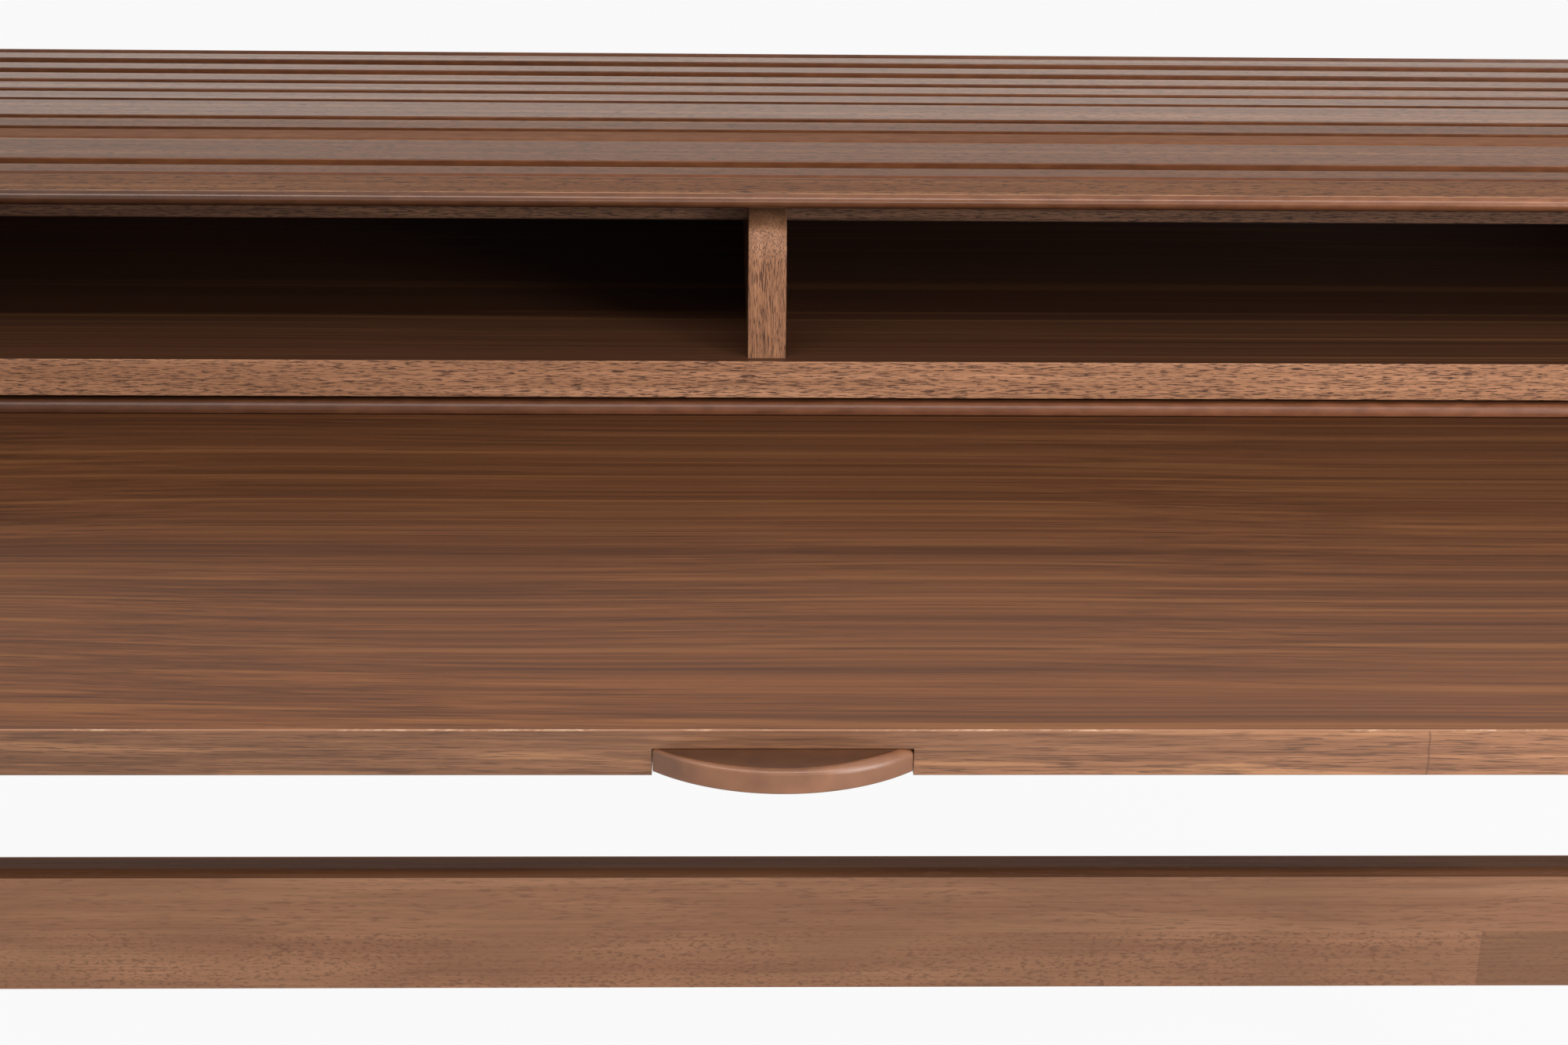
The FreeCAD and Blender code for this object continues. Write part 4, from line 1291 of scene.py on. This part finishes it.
@dataclass
class Worktop:
    """The sliding worktop: veneered panel, front lipping with a worn arris, pull, bead and battens."""

    line: ShelfLine
    reach: float = 346.0 * MM
    top: float = -27.0 * MM
    thickness: float = 18.0 * MM
    lipping: float = 6.0 * MM
    side_gap: float = 2.0 * MM
    arris: float = 0.55 * MM
    butt_round: float = 0.05 * MM
    notch_half: float = 46.5 * MM
    notch_drop: float = 7.7 * MM
    bead_depth: float = 16.0 * MM
    bead_height: float = 7.0 * MM
    bead_round: float = 5.4 * MM
    bead_foot: float = 0.9 * MM
    bead_arris: float = 0.5 * MM
    panel_arris: float = 0.03 * MM
    batten_arris: float = 1.0 * MM

    def build(self) -> None:
        """Makes the worktop's pieces."""
        veneer, solid = WORKTOP_VENEER.build(Grain.X), LIPPING.build(Grain.X)
        self.edge([veneer, solid, WORN_ARRIS.build()])
        eased_copy("worktop_panel", [veneer], self.panel_arris)
        self.bead()
        Pull(self.line, self.reach).build()
        runner = RUNNER_WOOD.build(Grain.Y)
        for side in ("left", "right"):
            eased_copy(f"batten_{side}", [runner], self.batten_arris)

    def edge(self, finishes: Materials) -> None:
        """Makes the front lipping in three stretches: full height each side of the notch, and above it.

        Args:
            finishes: The finishes of the top, the front and the worn arris.
        """
        front, high = self.line.y - self.reach, self.line.z + self.top
        back, half, tight = front + self.lipping, self.line.half - self.side_gap, self.butt_round
        full, notched = (
            Section(
                [
                    Corner(front, high - depth, self.arris, arc=1, side=1),
                    Corner(back, high - depth, tight, arc=1, side=1),
                    Corner(back, high, tight),
                    Corner(front, high, self.arris, arc=2, side=1),
                ],
                steps=5,
            )
            for depth in (self.thickness, self.notch_drop)
        )
        lengths = (
            (full, -half, -self.notch_half, 12),
            (notched, -self.notch_half, self.notch_half, 6),
            (full, self.notch_half, half, 12),
        )
        add_piece("worktop_edge", spliced(lengths, end=1), finishes)

    def bead(self) -> None:
        """Makes the rounded bead that holds the curtain's tail."""
        y, z = self.line.y, self.line.z + self.top
        section = Section(
            [
                Corner(y, z, self.bead_foot, arc=1, side=1),
                Corner(y + self.bead_depth, z, 0.0, side=0),
                Corner(y + self.bead_depth, z + self.bead_height, self.bead_arris, side=1),
                Corner(y, z + self.bead_height, self.bead_round, side=0),
            ],
            steps=12,
        )
        end = self.line.half - self.side_gap
        # Finish 1 paints shade on the top, the bottom and the foot's rounding.
        finishes = [BEAD_LACQUER.build(), BEAD_TOP_SHADE.build()]
        add_piece("tail_bead", spliced([(section, -end, end, 41)]), finishes)


@dataclass
class Pull:
    """The half-moon pull: a tab with a curved front, let into the notch of the worktop.

    At each x the front lies at y(x) = -(sqrt(R^2 - x^2) - (R - p)), for the reach p and the radius R that
    fits the reach and the width.  The top arris is a quarter round whose radius grows to the right, by an
    S-curve about `swell_place`.  Behind it the top is dished as far as the worktop's face and `inlet`.
    """

    line: ShelfLine
    worktop_reach: float
    top: float = -34.7 * MM
    height: float = 8.9 * MM
    half: float = 46.2 * MM
    reach: float = 18.0 * MM
    tuck: float = 20.0 * MM
    arris: float = 1.4 * MM
    arris_right: float = 3.6 * MM
    lower_arris: float = 0.9 * MM
    dish: float = 0.7 * MM
    inlet: float = 0.3 * MM
    least_dish: float = 0.4 * MM
    swell_place: float = 0.45
    swell_rate: float = 9.0
    columns: int = 49
    steps: int = 8

    def build(self) -> None:
        """Makes the pull, dark on its top and lighter on its front."""
        grid = self.grid()
        finishes = np.zeros(grid.shape[1], dtype=np.int32)
        finishes[2 * self.steps + 3:-1] = 1
        shell = closed_grid(grid, *self.normals(grid), finishes, 0)
        add_piece("worktop_pull", shell, [PULL_LACQUER.build(), PULL_TOP.build()])

    def grid(self) -> Array:
        """Works out the surface: for each x a row from the back, under the front and over the top.

        Returns:
            The rows of points.
        """
        radius = (self.half ** 2 + self.reach ** 2) / (2 * self.reach)
        angles = np.linspace(-1.0, 1.0, self.columns)[:, None] * math.asin(self.half / radius)
        x, spread = radius * np.sin(angles), np.cos(angles)
        front = radius - self.reach - radius * spread
        swell = 1.0 / (1.0 + np.exp(-(x / self.half - self.swell_place) * self.swell_rate))
        upper = self.arris + (self.arris_right - self.arris) * swell
        bend = np.linspace(0.0, math.pi / 2, self.steps + 1)[None]
        high = self.line.z + self.top
        low = high - self.height
        bottom_y = front + self.lower_arris * (1 - np.sin(bend)) / spread
        bottom_z = np.broadcast_to(low + self.lower_arris * (1 - np.cos(bend)), bottom_y.shape)
        top_y, top_z = front + upper * (1 - np.cos(bend)) / spread, high - upper * (1 - np.sin(bend))
        inner = front + upper / spread
        run = np.linspace(0.0, 1.0, self.steps + 1)[None, 1:]
        floor_y = inner + np.maximum(self.inlet - inner, self.least_dish) * run
        floor_z = high - self.dish * np.sin(run * math.pi) * np.clip(-front / self.reach, 0.0, 1.0)
        back = np.full_like(front, self.tuck)
        y = np.hstack([back, bottom_y, top_y, floor_y, back])
        z = np.hstack([np.full_like(back, low), bottom_z, top_z, floor_z, np.full_like(back, high)])
        face = self.line.y - self.worktop_reach
        return np.stack([np.broadcast_to(x, y.shape), face + y, z], axis=2)

    @staticmethod
    def normals(grid: Array) -> tuple[Array, Array]:
        """Works out smooth normals from the grid's own slopes, but square ones at the hidden back.

        The normal is the cross product of the step round the section and the step along x, both taken as
        central differences.

        Args:
            grid: Rows of points.

        Returns:
            The normals at the start and at the end of each stretch.
        """
        around = np.roll(grid, -1, axis=1) - np.roll(grid, 1, axis=1)
        length = np.gradient(grid, axis=0)
        smooth = np.cross(around, length)
        flat = np.cross(np.roll(grid, -1, axis=1) - grid, length)
        for vectors in (smooth, flat):
            vectors /= np.maximum(np.linalg.norm(vectors, axis=2, keepdims=True), 1e-12)
        starts, ends = smooth.copy(), np.roll(smooth, -1, axis=1)
        square = [0, -2, -1]
        starts[:, square] = ends[:, square] = flat[:, square]
        return starts, ends


@dataclass
class Carcass:
    """The two side panels with their rounded outlines and the track grooves inside."""

    arris: float = 0.8 * MM
    least_sideways: float = 0.7

    def build(self) -> None:
        """Makes both side panels: veneered faces and a solid rim."""
        veneer, rim = PANEL_VENEER.build(Grain.Y), SOLID_EDGE.build(Grain.Y)

        def choose(normals: Array) -> Array:
            """Gives the faces that look left or right the veneer and the rim the solid wood."""
            return (np.abs(normals[:, 0]) < self.least_sideways).astype(int)

        for side in ("left", "right"):
            eased_copy(f"side_panel_{side}", [veneer, rim], self.arris, choose)


@dataclass
class UnderFrame:
    """Legs, aprons, rear stretcher, slide rails, screws and foot glides."""

    line: ShelfLine
    leg_arris: float = 2.0 * MM
    apron_arris: float = 1.2 * MM
    rail_arris: float = 0.4 * MM
    stretcher_arris: float = 1.0 * MM
    stretcher_round: float = 5.0 * MM
    lower_strip: float = 42.0 * MM
    butt_joint: float = 0.487

    def build(self) -> None:
        """Makes the under frame's pieces."""
        along, deep, tall = (FRAME_WOOD.build(grain) for grain in (Grain.X, Grain.Y, Grain.Z))
        for end in ("front", "rear"):
            eased_copy(f"{end}_apron", [along], self.apron_arris)
            for side in ("left", "right"):
                eased_copy(f"leg_{end}_{side}", [tall], self.leg_arris)
        runner = RUNNER_WOOD.build(Grain.Y)
        for side in ("left", "right"):
            eased_copy(f"side_apron_{side}", [deep], self.apron_arris)
            eased_copy(f"slide_rail_{side}", [runner], self.rail_arris)
        self.stretcher()
        repaint("rail_screws", STEEL.build())
        repaint("foot_glides", NYLON.build())

    def stretcher(self) -> None:
        """Makes the rear stretcher: two glued strips, the lower one pieced near its right-hand end."""
        low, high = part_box("rear_stretcher")
        glue, arris, top = low.z + self.lower_strip, self.stretcher_arris, self.stretcher_round
        left, right = (
            Section(
                [
                    Corner(low.y, low.z, arris, arc=lower, side=lower),
                    Corner(high.y, low.z, arris, arc=lower, side=lower),
                    Corner(high.y, glue, 0.0, side=0),
                    Corner(high.y, high.z, top, arc=0, side=3),
                    Corner(low.y, high.z, top, arc=3, side=0),
                    Corner(low.y, glue, 0.0, side=lower),
                ],
                steps=10,
            )
            for lower in (1, 2)
        )
        shell = spliced([(left, low.x, self.butt_joint, 25), (right, self.butt_joint, high.x, 5)])
        # Finish 3 paints the worktop's shade on the top face and the upper front rounding.
        finishes = [finish.build(Grain.X) for finish in (SOLID_BEAM, BEAM_LOWER, BEAM_END, BEAM_TOP_SHADE)]
        add_piece("rear_stretcher", shell, finishes)


@dataclass(frozen=True)
class Lamp:
    """A soft rectangular lamp: its place, its power in watts, and its width and height."""

    name: str
    place: tuple[float, float, float]
    power: float
    size: tuple[float, float]

    def build(self, target: Vector) -> None:
        """Adds the lamp to the scene.

        Args:
            target: The point that it is turned to.
        """
        data = bpy.data.lights.new(self.name, "AREA")
        data.shape = "RECTANGLE"
        data.size, data.size_y = self.size
        data.energy = self.power
        lamp = bpy.data.objects.new(self.name, data)
        lamp.location = self.place
        lamp.rotation_euler = (target - Vector(self.place)).to_track_quat("-Z", "Y").to_euler()
        bpy.context.scene.collection.objects.link(lamp)


LAMPS = (
    Lamp("key_lamp", (1.3, -1.35, 1.25), 20.0, (0.7, 0.9)),
    Lamp("top_lamp", (0.0, -0.80, 1.70), 12.0, (1.8, 0.3)),
    Lamp("fill_lamp", (0.3, -4.5, 0.35), 16.0, (1.6, 0.6)),
    Lamp("side_lamp", (1.2, -1.9, 0.50), 5.0, (0.5, 0.5)),
)
WHITE = (1.0, 1.0, 1.0, 1.0)
FLOOR_GREY = (0.86, 0.86, 0.86, 1.0)


@dataclass
class Studio:
    """A white floor and background, soft lamps, and the camera, placed from the shelf line.

    `glow` is the floor's share of its own light where the background is seen, and `least_glow` that share
    for the light that falls on the desk.
    """

    line: ShelfLine
    camera_x: float = -24.2 * MM
    camera_y: float = -1188.7 * MM
    camera_z: float = 374.1 * MM
    pitch: float = 20.95
    yaw: float = 1.6
    roll: float = 0.70
    lens: float = 60.55
    ambient: float = 0.31
    glow: float = 0.93
    least_glow: float = 0.35
    floor_half: float = 9.0
    lamps_aim: tuple[float, float, float] = (0.05, -0.1, 0.0)

    def build(self) -> None:
        """Makes the stage, the lamps and the camera."""
        self.camera()
        self.floor()
        self.world()
        x, y, z = self.lamps_aim
        for lamp in LAMPS:
            lamp.build(Vector((x, self.line.y + y, self.line.z + z)))

    def camera(self) -> None:
        """Places the camera in front of the desk, above the worktop, looking down at the shelf box."""
        data = bpy.data.cameras.new("camera")
        data.lens = self.lens
        data.sensor_width = 36.0
        data.clip_start = 0.05
        data.clip_end = 60.0
        camera = bpy.data.objects.new("camera", data)
        bpy.context.scene.collection.objects.link(camera)
        aim = Matrix.Rotation(math.radians(-self.yaw), 4, "Z")
        tilt = Matrix.Rotation(math.radians(90.0 - self.pitch), 4, "X")
        spin = Matrix.Rotation(math.radians(self.roll), 4, "Z")
        place = Vector((self.camera_x, self.line.y + self.camera_y, self.line.z + self.camera_z))
        camera.matrix_world = Matrix.Translation(place) @ aim @ tilt @ spin
        bpy.context.scene.camera = camera

    @staticmethod
    def seen(graph: Graph) -> Socket:
        """Finds the rays that show the background: the camera's, in reflections and through glass.

        Args:
            graph: The tree that asks.

        Returns:
            A socket that is 1 for such a ray and 0 for the rest.
        """
        paths = graph.node("LightPath").outputs
        rays = [paths[f"Is {kind} Ray"] for kind in ("Camera", "Glossy", "Transmission")]
        return reduce(lambda first, second: graph.maths("MAXIMUM", first, second), rays)

    def floor(self) -> None:
        """Makes the floor: white, with a share of its own light, so that it stays pale round a shadow."""
        graph = Graph.material("studio_floor")
        diffuse = graph.node("BsdfDiffuse", {"Color": FLOOR_GREY})
        glow = graph.node("Emission", {"Color": WHITE, "Strength": 1.0})
        share = graph.maths("MULTIPLY", self.seen(graph), self.glow)
        share = graph.maths("MAXIMUM", share, self.least_glow)
        surface = graph.node("MixShader", {0: share, 1: diffuse.outputs[0], 2: glow.outputs[0]})
        mesh = bpy.data.meshes.new("floor")
        corners = ((-1.0, -1.0), (1.0, -1.0), (1.0, 1.0), (-1.0, 1.0))
        points = [(self.floor_half * x, self.floor_half * y, 0.0) for x, y in corners]
        mesh.from_pydata(points, [], [(0, 1, 2, 3)])
        mesh.materials.append(graph.finish(surface))
        floor = bpy.data.objects.new("floor", mesh)
        bpy.context.scene.collection.objects.link(floor)

    def world(self) -> None:
        """Makes the world: white where it is seen, dimmer as light on the desk."""
        graph = Graph(bpy.data.worlds.new("studio"))
        inputs = {"Value": self.seen(graph), "To Min": self.ambient, "To Max": 1.0}
        level = graph.node("MapRange", inputs).outputs[0]
        surface = graph.node("Background", {"Color": WHITE, "Strength": level})
        bpy.context.scene.world = graph.finish(surface)


def main() -> None:
    """Builds the studio, then every sub-assembly in order."""
    logging.basicConfig(level=logging.INFO, format="%(name)s: %(message)s")
    bpy.context.scene.view_settings.view_transform = "Standard"
    line = ShelfLine.found()
    Studio(line).build()
    for assembly in (Tambour(line), ShelfBox(line), Worktop(line), Carcass(), UnderFrame(line)):
        assembly.build()


if __name__ == "__main__":
    main()
